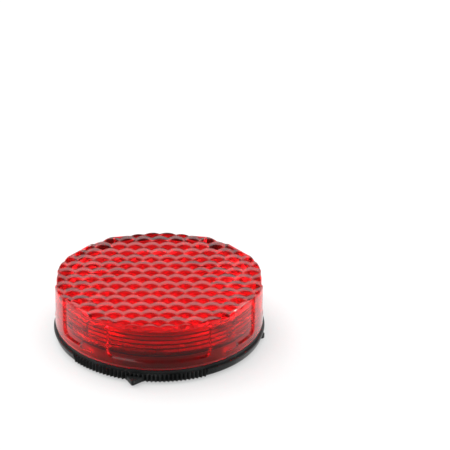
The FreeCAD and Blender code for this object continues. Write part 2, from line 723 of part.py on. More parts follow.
def build():
    os.makedirs("parts", exist_ok=True)
    save("base_shell", base_shell())
    save("adhesive_foam_pad", foam_pad())
    save("release_liner", release_liner())
    save("lens_cap", lens_cap())
    save("circuit_board", circuit_board())
    for number, angle in enumerate(SCREW_ANGLES, 1):
        save("board_screw_" + str(number), board_screw(angle))
    save("coin_cell_can", cell_can())
    save("coin_cell_cap", cell_cap())
    save("coin_cell_gasket", cell_gasket())
    save("cell_holder", cell_holder())
    save("positive_clip", positive_clip())
    save("negative_spring", negative_spring())
    for number in range(1, LED_COUNT + 1):
        angle = LED_FIRST_ANGLE + (number - 1) * LED_STEP
        save("led_package_" + str(number), led_package(angle))
        save("led_window_" + str(number), led_window(angle))
        save("led_terminals_" + str(number), led_terminals(angle))
    save("reed_glass", reed_glass())
    save("reed_lead_left", reed_lead(-1))
    save("reed_lead_right", reed_lead(1))
    save("controller_chip", controller_chip())
    save("controller_pins", controller_pins())
    for number, angle in enumerate(RESISTOR_ANGLES, 1):
        save("resistor_" + str(number), chip_part(RESISTOR_SIZE, angle))
    save("capacitor", chip_part(CAPACITOR_SIZE, CAPACITOR_ANGLE))


build()
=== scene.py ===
"""The stick-on warning flasher: dressed lens, base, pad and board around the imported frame.

Lengths are in metres unless a name ends in _mm, and the row frame has its origin on the lamp's
axis at the stuck face, +Z out through the lens and the moulded pointer along -Y.
"""
import logging
import math
from dataclasses import dataclass, field
from enum import Enum
from typing import Callable, Iterable, Sequence

import bmesh
import bpy
import numpy as np
from bmesh.types import BMesh, BMVert
from bpy.types import Material, Node, NodeOutputs, NodeSocket, NodeTree, Object, World
from mathutils import Matrix, Vector
from mathutils.geometry import delaunay_2d_cdt


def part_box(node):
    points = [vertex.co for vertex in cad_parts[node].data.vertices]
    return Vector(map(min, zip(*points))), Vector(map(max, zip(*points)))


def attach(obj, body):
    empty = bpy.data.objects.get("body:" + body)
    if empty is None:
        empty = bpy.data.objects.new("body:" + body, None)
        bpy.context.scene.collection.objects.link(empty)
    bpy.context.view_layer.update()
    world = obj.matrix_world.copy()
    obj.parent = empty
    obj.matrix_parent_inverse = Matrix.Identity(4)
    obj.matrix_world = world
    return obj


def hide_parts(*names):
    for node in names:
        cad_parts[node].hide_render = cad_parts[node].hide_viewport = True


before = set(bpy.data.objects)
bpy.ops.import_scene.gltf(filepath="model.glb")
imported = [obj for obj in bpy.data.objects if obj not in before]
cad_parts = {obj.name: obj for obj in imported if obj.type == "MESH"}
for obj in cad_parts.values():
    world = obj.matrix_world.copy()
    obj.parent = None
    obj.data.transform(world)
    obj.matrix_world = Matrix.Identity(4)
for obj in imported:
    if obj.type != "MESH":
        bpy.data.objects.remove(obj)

LOG = logging.getLogger("flasher")
MM = 0.001
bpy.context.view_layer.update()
WHITE = (1.0, 1.0, 1.0)
STEP_HALF = 0.02  # half the width of an upright step in a lathe piece, in degrees
LENS_CLOCKING = -77.4  # place of the lens's front window round the axis, in degrees
TWIST_LUGS = 4
Point = tuple[float, float, float]
Colour = tuple[float, float, float]
Span = tuple[float, float]
Ring = tuple[np.ndarray, np.ndarray]


class Body(str, Enum):
    """The rigid bodies that pieces ride on."""

    BASE = "base"
    LENS = "lens"


# --- Mesh helpers ---


def finish_mesh(bm: BMesh, name: str, smooth_angle: float = 32.0) -> Object:
    """Weld, orient and shade a mesh, and link it as an object.

    Args:
        bm: The mesh being built; it is freed.
        name: Name of the new object.
        smooth_angle: Edges sharper than this, in degrees, stay sharp.

    Returns:
        The new object.
    """
    bmesh.ops.remove_doubles(bm, verts=bm.verts, dist=0.0004 * MM)
    bmesh.ops.dissolve_degenerate(bm, edges=bm.edges, dist=0.0004 * MM)
    bmesh.ops.recalc_face_normals(bm, faces=bm.faces)
    mesh = bpy.data.meshes.new(name)
    bm.to_mesh(mesh)
    bm.free()
    mesh.shade_smooth()
    mesh.set_sharp_from_angle(angle=math.radians(smooth_angle))
    piece = bpy.data.objects.new(name, mesh)
    bpy.context.scene.collection.objects.link(piece)
    return piece


@dataclass
class Lathe:
    """A turned piece in the making: rings of vertices about the lamp's axis, in millimetres."""

    angles: np.ndarray
    bm: BMesh = field(default_factory=bmesh.new)
    rows: list[list[BMVert]] = field(default_factory=list)

    def ring(self, radii: np.ndarray, heights: np.ndarray) -> None:
        """Add one ring of vertices, with a radius and a height at each angle."""
        xs, ys = radii * np.cos(self.angles), radii * np.sin(self.angles)
        self.rows.append([self.bm.verts.new(co) for co in zip(xs, ys, heights)])

    def fan(self, ring: Sequence[BMVert], height: float) -> None:
        """Close a ring with triangles to a point on the axis.

        Args:
            ring: The ring's vertices, in order.
            height: Height of the point.
        """
        centre = self.bm.verts.new((0.0, 0.0, height))
        for here, vert in enumerate(ring):
            self.bm.faces.new((vert, ring[(here + 1) % len(ring)], centre))

    def finish(self, name: str, last: float, first: float | None = None,
               smooth_angle: float = 32.0) -> Object:
        """Join the rings with bands of quads, close the ends and scale the piece to metres.

        Args:
            name: Name of the new object.
            last: Height at which the last ring's disc meets the axis.
            first: The same for the first ring, if it isn't closed already.
            smooth_angle: Edges sharper than this, in degrees, stay sharp.

        Returns:
            The new object.
        """
        count = len(self.angles)
        for ring, following in zip(self.rows, self.rows[1:]):
            for here in range(count):
                after = (here + 1) % count
                self.bm.faces.new((ring[here], ring[after], following[after], following[here]))
        if first is not None:
            self.fan(self.rows[0], first)
        self.fan(self.rows[-1], last)
        bmesh.ops.scale(self.bm, vec=(MM, MM, MM), verts=self.bm.verts)
        return finish_mesh(self.bm, name, smooth_angle)


def angle_gap(angles: np.ndarray, centre: float) -> np.ndarray:
    """Signed difference of angles from one centre, in radians between -pi and pi."""
    return (angles - centre + math.pi) % (2 * math.pi) - math.pi


def both_sides(ends: Iterable[float]) -> list[float]:
    """Angles just before and just after each upright step, in degrees."""
    return [end + nudge for end in ends for nudge in (-STEP_HALF, STEP_HALF)]


def smoothstep(values: np.ndarray) -> np.ndarray:
    """Ease values from 0 to 1, flat outside that range."""
    t = np.clip(values, 0.0, 1.0)
    return t * t * (3 - 2 * t)


# --- Shader helpers ---


class Socket(str, Enum):
    """Kinds of socket that a shared node group offers."""

    VALUE = "NodeSocketFloat"
    VECTOR = "NodeSocketVector"


class Nodes:
    """A thin builder over one node tree."""

    def __init__(self, tree: NodeTree) -> None:
        """Keep the tree that nodes are added to."""
        self.tree = tree

    @classmethod
    def of(cls, owner: Material | World) -> "Nodes":
        """Switch on a material's or a world's nodes, and clear them.

        Args:
            owner: The material or world.

        Returns:
            A builder over its emptied node tree.
        """
        owner.use_nodes = True
        owner.node_tree.nodes.clear()
        return cls(owner.node_tree)

    def add(self, kind: str, **given: object) -> Node:
        """Add a shader node.

        Args:
            kind: The node's bl_idname, without its first word, ShaderNode.
            **given: Names in lower case are the node's properties. The rest are its inputs, with
                _ for a space, and each takes a value or an output socket.

        Returns:
            The new node.
        """
        node = self.tree.nodes.new("ShaderNode" + kind)
        inputs = {name: value for name, value in given.items() if name[0].isupper()}
        for name, value in given.items():
            if name not in inputs:
                setattr(node, name, value)
        for name, value in inputs.items():
            self.feed(node, name.replace("_", " "), value)
        return node

    def feed(self, node: Node, name: str | int, value: object) -> None:
        """Link an output socket to an input, or set the input's own value.

        Args:
            node: The node that is fed.
            name: The input's name or place in the list.
            value: An output socket, or a plain value.
        """
        target = node.inputs[name]
        if isinstance(value, NodeSocket):
            self.tree.links.new(value, target)
        elif isinstance(value, tuple) and len(value) == 3 and target.type == "RGBA":
            target.default_value = (*value, 1.0)
        else:
            target.default_value = value

    def math(self, operation: str, first: object, second: object = 0.0,
             clamp: bool = False) -> NodeSocket:
        """One arithmetic step.

        Args:
            operation: The Math node's operation.
            first: The first value.
            second: The second value.
            clamp: Whether the result is kept between 0 and 1.

        Returns:
            The result.
        """
        node = self.add("Math", operation=operation, use_clamp=clamp)
        self.feed(node, 0, first)
        self.feed(node, 1, second)
        return node.outputs[0]

    def product(self, first: object, *others: object) -> NodeSocket:
        """All the given values multiplied together.

        Args:
            first: The first value.
            *others: The values to multiply it by.

        Returns:
            The product.
        """
        for other in others:
            first = self.math("MULTIPLY", first, other)
        return first

    def vector(self, operation: str, first: object,
               second: Point = (0.0, 0.0, 0.0)) -> Node:
        """One vector step; its node offers a Vector and a Value.

        Args:
            operation: The VectorMath node's operation.
            first: The first vector.
            second: The second vector.

        Returns:
            The node.
        """
        node = self.add("VectorMath", operation=operation)
        self.feed(node, 0, first)
        self.feed(node, 1, second)
        return node

    def remap(self, value: object, source: Span, target: Span,
              soft: bool = False) -> NodeSocket:
        """Stretch a value from one pair of limits to another, with soft ends if asked.

        Args:
            value: The value to stretch.
            source: The limits it comes in with.
            target: The limits it leaves with.
            soft: Whether the ends are eased.

        Returns:
            The stretched value.
        """
        node = self.add("MapRange", Value=value)
        if soft:
            node.interpolation_type = "SMOOTHSTEP"
        for name, limit in zip(("From Min", "From Max", "To Min", "To Max"), source + target):
            self.feed(node, name, limit)
        return node.outputs["Result"]

    def ramp(self, value: object, low: float, high: float) -> NodeSocket:
        """Stretch a value so that low gives 0 and high gives 1, with soft ends."""
        return self.remap(value, (low, high), (0.0, 1.0), soft=True)

    def between(self, value: object, low: float, high: float) -> NodeSocket:
        """Spread a 0 to 1 value between two limits."""
        return self.remap(value, (0.0, 1.0), (low, high))

    def mix(self, factor: object, first: object, second: object) -> NodeSocket:
        """Blend two colours.

        Args:
            factor: 0 for the first colour, 1 for the second.
            first: The first colour.
            second: The second colour.

        Returns:
            The blend.
        """
        node = self.add("Mix", data_type="RGBA")
        self.feed(node, 0, factor)
        self.feed(node, 6, first)
        self.feed(node, 7, second)
        return node.outputs[2]

    def noise(self, vector: object, scale: float, detail: float = 3.0,
              roughness: float = 0.55) -> NodeSocket:
        """A plain noise value."""
        node = self.add("TexNoise", Vector=vector, Scale=scale, Detail=detail,
                        Roughness=roughness)
        return node.outputs["Fac"]

    def place(self) -> NodeSocket:
        """Coordinates fixed to the piece, in metres."""
        return self.add("TexCoord").outputs["Object"]

    def from_axis(self, place: NodeSocket) -> NodeSocket:
        """Distance of a place from the lamp's axis."""
        flat = self.vector("MULTIPLY", place, (1.0, 1.0, 0.0))
        return self.vector("LENGTH", flat.outputs["Vector"]).outputs["Value"]

    def height(self, place: NodeSocket) -> NodeSocket:
        """The Z of a place or a direction."""
        return self.add("SeparateXYZ", Vector=place).outputs["Z"]

    def group(self, tree: NodeTree, **inputs: object) -> Node:
        """Place a shared group with its own values."""
        return self.add("Group", node_tree=tree, **inputs)

    def bump(self, surface: Node, height: object, distance: float) -> None:
        """Raise a surface by a height value, with distance in metres."""
        node = self.add("Bump", Strength=1.0, Distance=distance, Height=height)
        self.feed(surface, "Normal", node.outputs["Normal"])

    def choose(self, factor: object, first: object, second: object) -> NodeSocket:
        """Blend two shaders.

        Args:
            factor: 0 for the first shader, 1 for the second.
            first: The first shader.
            second: The second shader.

        Returns:
            The blend.
        """
        node = self.add("MixShader")
        for index, value in enumerate((factor, first, second)):
            self.feed(node, index, value)
        return node.outputs[0]

    def end(self, kind: str, surface: NodeSocket) -> None:
        """Feed the tree's surface output."""
        self.feed(self.add(kind), "Surface", surface)


def shared_group(name: str, inputs: dict[str, float],
                 build: Callable[[Nodes, NodeOutputs], dict[str, object]]
                 ) -> NodeTree:
    """Make a shader node group once, with a Place input and named value inputs and outputs.

    Args:
        name: Name of the group.
        inputs: Each value input's starting value.
        build: Fills the tree from its inputs, and returns what feeds each output.

    Returns:
        The group's tree.
    """
    if name in bpy.data.node_groups:
        return bpy.data.node_groups[name]
    tree = bpy.data.node_groups.new(name, "ShaderNodeTree")
    tree.interface.new_socket(name="Place", in_out="INPUT", socket_type=Socket.VECTOR.value)
    for label, start in inputs.items():
        made = tree.interface.new_socket(name=label, in_out="INPUT", socket_type=Socket.VALUE.value)
        made.default_value = start
    nodes = Nodes(tree)
    found = build(nodes, tree.nodes.new("NodeGroupInput").outputs)
    for label in found:
        tree.interface.new_socket(name=label, in_out="OUTPUT", socket_type=Socket.VALUE.value)
    leaving = tree.nodes.new("NodeGroupOutput")
    for label, value in found.items():
        nodes.feed(leaving, label, value)
    return tree


def moulded_grain() -> NodeTree:
    """Shared effect: the fine spark grain and the slow flow marks of moulded plastic.

    Returns:
        The shared group's tree.
    """
    def build(nodes: Nodes, given: NodeOutputs) -> dict[str, object]:
        """Lay out the grain's nodes.

        Args:
            nodes: The group's nodes.
            given: Its inputs.

        Returns:
            What feeds each output.
        """
        fine = nodes.add("TexNoise", Vector=given["Place"],
                         Scale=given["Grain Scale"], Detail=2.0).outputs["Fac"]
        slow = nodes.add("TexNoise", Vector=given["Place"],
                         Scale=given["Flow Scale"], Detail=4.0, Distortion=0.6).outputs["Fac"]
        height = nodes.math("ADD", nodes.product(fine, 0.75), nodes.product(slow, 0.25))
        return {"Height": height, "Flow": nodes.ramp(slow, 0.35, 0.68),
                "Grain": nodes.ramp(fine, 0.3, 0.72)}
    return shared_group("moulded_grain", {"Grain Scale": 9000.0, "Flow Scale": 160.0}, build)


def dust_and_scuffs() -> NodeTree:
    """Shared effect: sparse dust specks, and hairline scuffs that run every way.

    Returns:
        The shared group's tree.
    """
    def build(nodes: Nodes, given: NodeOutputs) -> dict[str, object]:
        """Lay out the specks' and scuffs' nodes.

        Args:
            nodes: The group's nodes.
            given: Its inputs.

        Returns:
            What feeds each output.
        """
        place, amount = given["Place"], given["Amount"]
        cells = nodes.add("TexVoronoi", feature="F1", Vector=place,
                          Scale=given["Scale"], Randomness=1.0).outputs["Distance"]
        patch = nodes.noise(place, 210.0)
        specks = nodes.product(nodes.ramp(cells, 0.13, 0.04), nodes.ramp(patch, 0.48, 0.7))
        streak = nodes.add("Mapping", Vector=place, Rotation=(0.0, 0.0, 0.7),
                           Scale=(1.0, 26.0, 1.0)).outputs["Vector"]
        scuffs = nodes.product(nodes.ramp(nodes.noise(streak, 190.0, 2.0), 0.66, 0.74),
                               nodes.ramp(patch, 0.4, 0.62))
        return {"Specks": nodes.math("MULTIPLY", specks, amount, clamp=True),
                "Scuffs": nodes.math("MULTIPLY", scuffs, amount, clamp=True)}
    return shared_group("dust_and_scuffs", {"Scale": 1400.0, "Amount": 1.0}, build)


def brushed_lines() -> NodeTree:
    """Shared effect: fine parallel lines of drawn or rolled metal, with slow cloudiness.

    Returns:
        The shared group's tree.
    """
    def build(nodes: Nodes, given: NodeOutputs) -> dict[str, object]:
        """Lay out the lines' nodes.

        Args:
            nodes: The group's nodes.
            given: Its inputs.

        Returns:
            What feeds each output.
        """
        stretch = nodes.add("Mapping", Vector=given["Place"],
                            Scale=(1.0, 30.0, 30.0)).outputs["Vector"]
        lines = nodes.add("TexNoise", Vector=stretch,
                          Scale=given["Line Scale"], Detail=2.0).outputs["Fac"]
        cloud = nodes.noise(given["Place"], 260.0)
        return {"Lines": lines, "Cloud": nodes.ramp(cloud, 0.35, 0.68)}
    return shared_group("brushed_lines", {"Line Scale": 300.0}, build)


@dataclass(frozen=True)
class Finish:
    """A surface finish that makes one material."""

    name: str
    colour: Colour

    def material(self) -> Material:
        """Return this finish's material, making it the first time.

        Returns:
            The material.
        """
        found = bpy.data.materials.get(self.name)
        if found is not None:
            return found
        made = bpy.data.materials.new(self.name)
        made.diffuse_color = (*self.colour, 1.0)
        nodes = Nodes.of(made)
        surface = nodes.add("BsdfPrincipled", Base_Color=self.colour)
        nodes.end("OutputMaterial", surface.outputs["BSDF"])
        self.shade(nodes, surface)
        return made

    def shade(self, nodes: Nodes, surface: Node) -> None:
        """Feed the surface shader; each finish has its own way.

        Args:
            nodes: The material's nodes.
            surface: Its surface shader.
        """
        raise NotImplementedError


@dataclass(frozen=True)
class MouldedPlastic(Finish):
    """Moulded plastic with spark grain, flow marks, specks and scuffs."""

    scuffed: Colour = (0.12, 0.12, 0.12)
    speck: Colour = (0.45, 0.43, 0.40)
    roughness: Span = (0.38, 0.52)
    grain_scale: float = 9000.0
    grain_depth: float = 0.004 * MM
    dust: float = 0.35
    variation: float = 0.35
    gloss: float = 0.5

    def shade(self, nodes: Nodes, surface: Node) -> None:
        """Feed colour, roughness and bump from the shared grain and scuff groups.

        Args:
            nodes: The material's nodes.
            surface: Its surface shader.
        """
        place = nodes.place()
        grain = nodes.group(moulded_grain(), Place=place, Grain_Scale=self.grain_scale)
        marks = nodes.group(dust_and_scuffs(), Place=place, Amount=self.dust)
        shade = tuple(part * (1 + self.variation) + 0.004 for part in self.colour)
        flowed = nodes.mix(grain.outputs["Flow"], self.colour, shade)
        scuffed = nodes.mix(marks.outputs["Scuffs"], flowed, self.scuffed)
        nodes.feed(surface, "Base Color",
                   nodes.mix(marks.outputs["Specks"], scuffed, self.speck))
        nodes.feed(surface, "Roughness", nodes.between(grain.outputs["Grain"], *self.roughness))
        nodes.feed(surface, "Specular IOR Level", self.gloss)
        nodes.bump(surface, grain.outputs["Height"], self.grain_depth)


@dataclass(frozen=True)
class ClearPlastic(Finish):
    """Tinted clear plastic, with faint flow marks in its polish."""

    deep: Colour = (0.5, 0.0, 0.0)
    roughness: Span = (0.02, 0.07)
    ior: float = 1.49
    clarity: float = 1.0
    gloss: float = 0.5
    ripple: float = 0.0015 * MM
    frost: float = 0.0
    frost_top: float = 4.6 * MM
    frost_radius: float = 17.0 * MM
    frost_foot: float = 3.15 * MM

    def shade(self, nodes: Nodes, surface: Node) -> None:
        """Feed a slightly uneven tint and polish into a transmitting surface.

        Args:
            nodes: The material's nodes.
            surface: Its surface shader.
        """
        place = nodes.place()
        grain = nodes.group(moulded_grain(), Place=place, Grain_Scale=2600.0, Flow_Scale=120.0)
        nodes.feed(surface, "Base Color", nodes.mix(grain.outputs["Flow"], self.colour, self.deep))
        polish = nodes.between(grain.outputs["Flow"], *self.roughness)
        if self.frost > 0:
            etched = nodes.product(self.frost, self.frosted(nodes, place))
            polish = nodes.math("MAXIMUM", polish, etched)
        nodes.feed(surface, "Roughness", polish)
        nodes.feed(surface, "IOR", self.ior)
        nodes.feed(surface, "Specular IOR Level", self.gloss)
        nodes.feed(surface, "Transmission Weight", self.clarity)
        nodes.bump(surface, grain.outputs["Height"], self.ripple)

    def frosted(self, nodes: Nodes, place: NodeSocket) -> NodeSocket:
        """1 on the etched inner face low down on the bore and round the foot, 0 elsewhere.

        Args:
            nodes: The material's nodes.
            place: Coordinates fixed to the piece.

        Returns:
            The mask.
        """
        soft = 0.3 * MM
        z = nodes.height(place)
        inner = nodes.ramp(nodes.from_axis(place), self.frost_radius, self.frost_radius - 0.2 * MM)
        low = nodes.product(inner, nodes.ramp(z, self.frost_top, self.frost_top - soft))
        return nodes.math("MAXIMUM", low, nodes.ramp(z, self.frost_foot, self.frost_foot - soft))


@dataclass(frozen=True)
class Metal(Finish):
    """Plated or tinned metal with fine lines and a cloudy polish."""

    dull: Colour = (0.4, 0.4, 0.4)
    roughness: Span = (0.22, 0.4)
    line_scale: float = 300.0
    line_depth: float = 0.002 * MM

    def shade(self, nodes: Nodes, surface: Node) -> None:
        """Feed a metallic surface from the shared brushed lines.

        Args:
            nodes: The material's nodes.
            surface: Its surface shader.
        """
        lines = nodes.group(brushed_lines(), Place=nodes.place(), Line_Scale=self.line_scale)
        nodes.feed(surface, "Metallic", 1.0)
        nodes.feed(surface, "Base Color", nodes.mix(lines.outputs["Cloud"], self.colour, self.dull))
        nodes.feed(surface, "Roughness", nodes.between(lines.outputs["Lines"], *self.roughness))
        nodes.bump(surface, lines.outputs["Lines"], self.line_depth)


@dataclass(frozen=True)
class LinerPaper(Finish):
    """Siliconed release paper: smooth, faintly mottled, with a few soft rub marks."""

    warm: Colour = (0.9, 0.85, 0.84)
    rubbed: Colour = (0.78, 0.76, 0.74)
    fibre_depth: float = 0.004 * MM

    def shade(self, nodes: Nodes, surface: Node) -> None:
        """Feed paper fibre and rub marks into a soft white surface.

        Args:
            nodes: The material's nodes.
            surface: Its surface shader.
        """
        place = nodes.place()
        fibre = nodes.noise(place, 5200.0, 3.0, 0.7)
        mottle = nodes.ramp(nodes.noise(place, 85.0, 3.0), 0.38, 0.7)
        marks = nodes.group(dust_and_scuffs(), Place=place, Scale=520.0, Amount=0.25)
        tone = nodes.mix(mottle, self.colour, self.warm)
        nodes.feed(surface, "Base Color",
                   nodes.mix(marks.outputs["Scuffs"], tone, self.rubbed))
        nodes.feed(surface, "Roughness", nodes.between(fibre, 0.42, 0.6))
        nodes.bump(surface, fibre, self.fibre_depth)


@dataclass(frozen=True)
class FoamTape(Finish):
    """Closed-cell foam tape: matt, with small open cells along its cut edge.

    The cells' pits are darkened with painted shade.
    """

    # Colour of the cell pits: painted shade in the open cells.
    cell: Colour = (0.55, 0.53, 0.5)
    pit_depth: float = 0.03 * MM

    def shade(self, nodes: Nodes, surface: Node) -> None:
        """Feed cell pits into a matt surface, as bumps and as painted shade in their colour.

        Args:
            nodes: The material's nodes.
            surface: Its surface shader.
        """
        cells = nodes.add("TexVoronoi", feature="F1", Vector=nodes.place(),
                          Scale=5200.0).outputs["Distance"]
        pits = nodes.ramp(cells, 0.42, 0.12)
        # The pits are painted darker: painted shade in the recesses.
        nodes.feed(surface, "Base Color", nodes.mix(pits, self.colour, self.cell))
        nodes.feed(surface, "Roughness", nodes.between(pits, 0.75, 0.95))
        nodes.bump(surface, cells, self.pit_depth)


@dataclass(frozen=True)
class SolderMask(Finish):
    """Circuit board: glossy mask over a web of tracks, with bare laminate speckle."""

    track: Colour = (0.70, 0.72, 0.68)
    border: Colour = (0.02, 0.02, 0.022)
    border_radius: float = 12.5 * MM
    track_height: float = 0.02 * MM

    def shade(self, nodes: Nodes, surface: Node) -> None:
        """Feed raised tracks and mask mottle.

        Args:
            nodes: The material's nodes.
            surface: Its surface shader.
        """
        place = nodes.place()
        web = nodes.add("TexBrick", Vector=place, Scale=1.0, Mortar_Size=0.00012,
                        Brick_Width=0.0031, Row_Height=0.0013)
        tracks = nodes.math("SUBTRACT", 1.0, web.outputs["Fac"])
        patch = nodes.ramp(nodes.noise(place, 150.0, 2.0), 0.45, 0.5)
        lines = nodes.product(web.outputs["Fac"], patch)
        weave = nodes.noise(place, 4200.0, 2.0)
        edge = nodes.ramp(nodes.from_axis(place), self.border_radius,
                          self.border_radius + 0.1 * MM)
        printed = nodes.mix(lines, self.colour, self.track)
        nodes.feed(surface, "Base Color", nodes.mix(edge, printed, self.border))
        nodes.feed(surface, "Roughness", nodes.between(weave, 0.3, 0.42))
        nodes.bump(surface, nodes.product(tracks, patch), self.track_height)


RED_LENS = ClearPlastic("clear_red_lens", (0.69, 0.006, 0.009), deep=(0.65, 0.004, 0.006),
                        roughness=(0.0, 0.012), clarity=0.982, gloss=0.22,
                        ripple=0.0004 * MM, frost=0.5)
BLACK_BASE = MouldedPlastic("black_moulded_base", (0.0035, 0.004, 0.004), gloss=0.25,
                            roughness=(0.26, 0.36))
HOLDER_NATURAL = MouldedPlastic("holder_nylon_natural", (0.80, 0.79, 0.75),
                                scuffed=(0.7, 0.69, 0.66), roughness=(0.45, 0.6), dust=0.1,
                                variation=0.04)
GASKET_GREY = MouldedPlastic("gasket_nylon_grey", (0.16, 0.16, 0.17), roughness=(0.5, 0.6))
CHIP_BLACK = MouldedPlastic("chip_epoxy_black", (0.025, 0.025, 0.026), roughness=(0.55, 0.7),
                            dust=0.1)
LAMP_WHITE = MouldedPlastic("lamp_package_white", (0.86, 0.86, 0.84), scuffed=(0.7, 0.7, 0.68),
                            roughness=(0.3, 0.42), dust=0.05, variation=0.03)
RESISTOR_GLAZE = MouldedPlastic("resistor_glaze", (0.035, 0.035, 0.04), roughness=(0.2, 0.35),
                                dust=0.1)
CAPACITOR_TAN = MouldedPlastic("capacitor_ceramic", (0.48, 0.36, 0.22), roughness=(0.5, 0.65),
                               dust=0.1)
LINER_WHITE = LinerPaper("release_paper_white", (0.93, 0.92, 0.90))
FOAM_WHITE = FoamTape("foam_tape_white", (0.84, 0.83, 0.80))
BOARD_WHITE = SolderMask("board_mask_white", (0.82, 0.83, 0.80))
CELL_NICKEL = Metal("cell_nickel", (0.76, 0.75, 0.72), dull=(0.62, 0.61, 0.58))
SPRING_STEEL = Metal("spring_steel_bright", (0.70, 0.69, 0.66), dull=(0.55, 0.54, 0.52))
SCREW_ZINC = Metal("screw_zinc", (0.66, 0.66, 0.66), dull=(0.5, 0.51, 0.52))
TIN = Metal("tinned_metal_soft", (0.80, 0.80, 0.80), dull=(0.64, 0.64, 0.65),
            roughness=(0.3, 0.5))
LAMP_RESIN = ClearPlastic("lamp_resin_clear", (0.96, 0.90, 0.62), deep=(0.95, 0.86, 0.5),
                          roughness=(0.12, 0.2), ior=1.53)
TUBE_GLASS = ClearPlastic("reed_tube_glass", (0.80, 0.92, 0.86), deep=(0.76, 0.9, 0.83),
                          roughness=(0.0, 0.03), ior=1.52)


def dress_node(node: str, finish: Finish) -> None:
    """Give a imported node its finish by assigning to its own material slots."""
    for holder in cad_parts[node].material_slots:
        holder.material = finish.material()


def seat(piece: Object, body: Body, slot: str, finish: Finish, *nodes: str) -> None:
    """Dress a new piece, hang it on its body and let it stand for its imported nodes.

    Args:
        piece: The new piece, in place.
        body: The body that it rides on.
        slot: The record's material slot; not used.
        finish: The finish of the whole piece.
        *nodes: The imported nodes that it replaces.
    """
    piece.data.materials.append(finish.material())
    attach(piece, body.value)
    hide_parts(*nodes)
    LOG.info("built %s on %s with %d faces", piece.name, body.value, len(piece.data.polygons))


# --- Lens ---


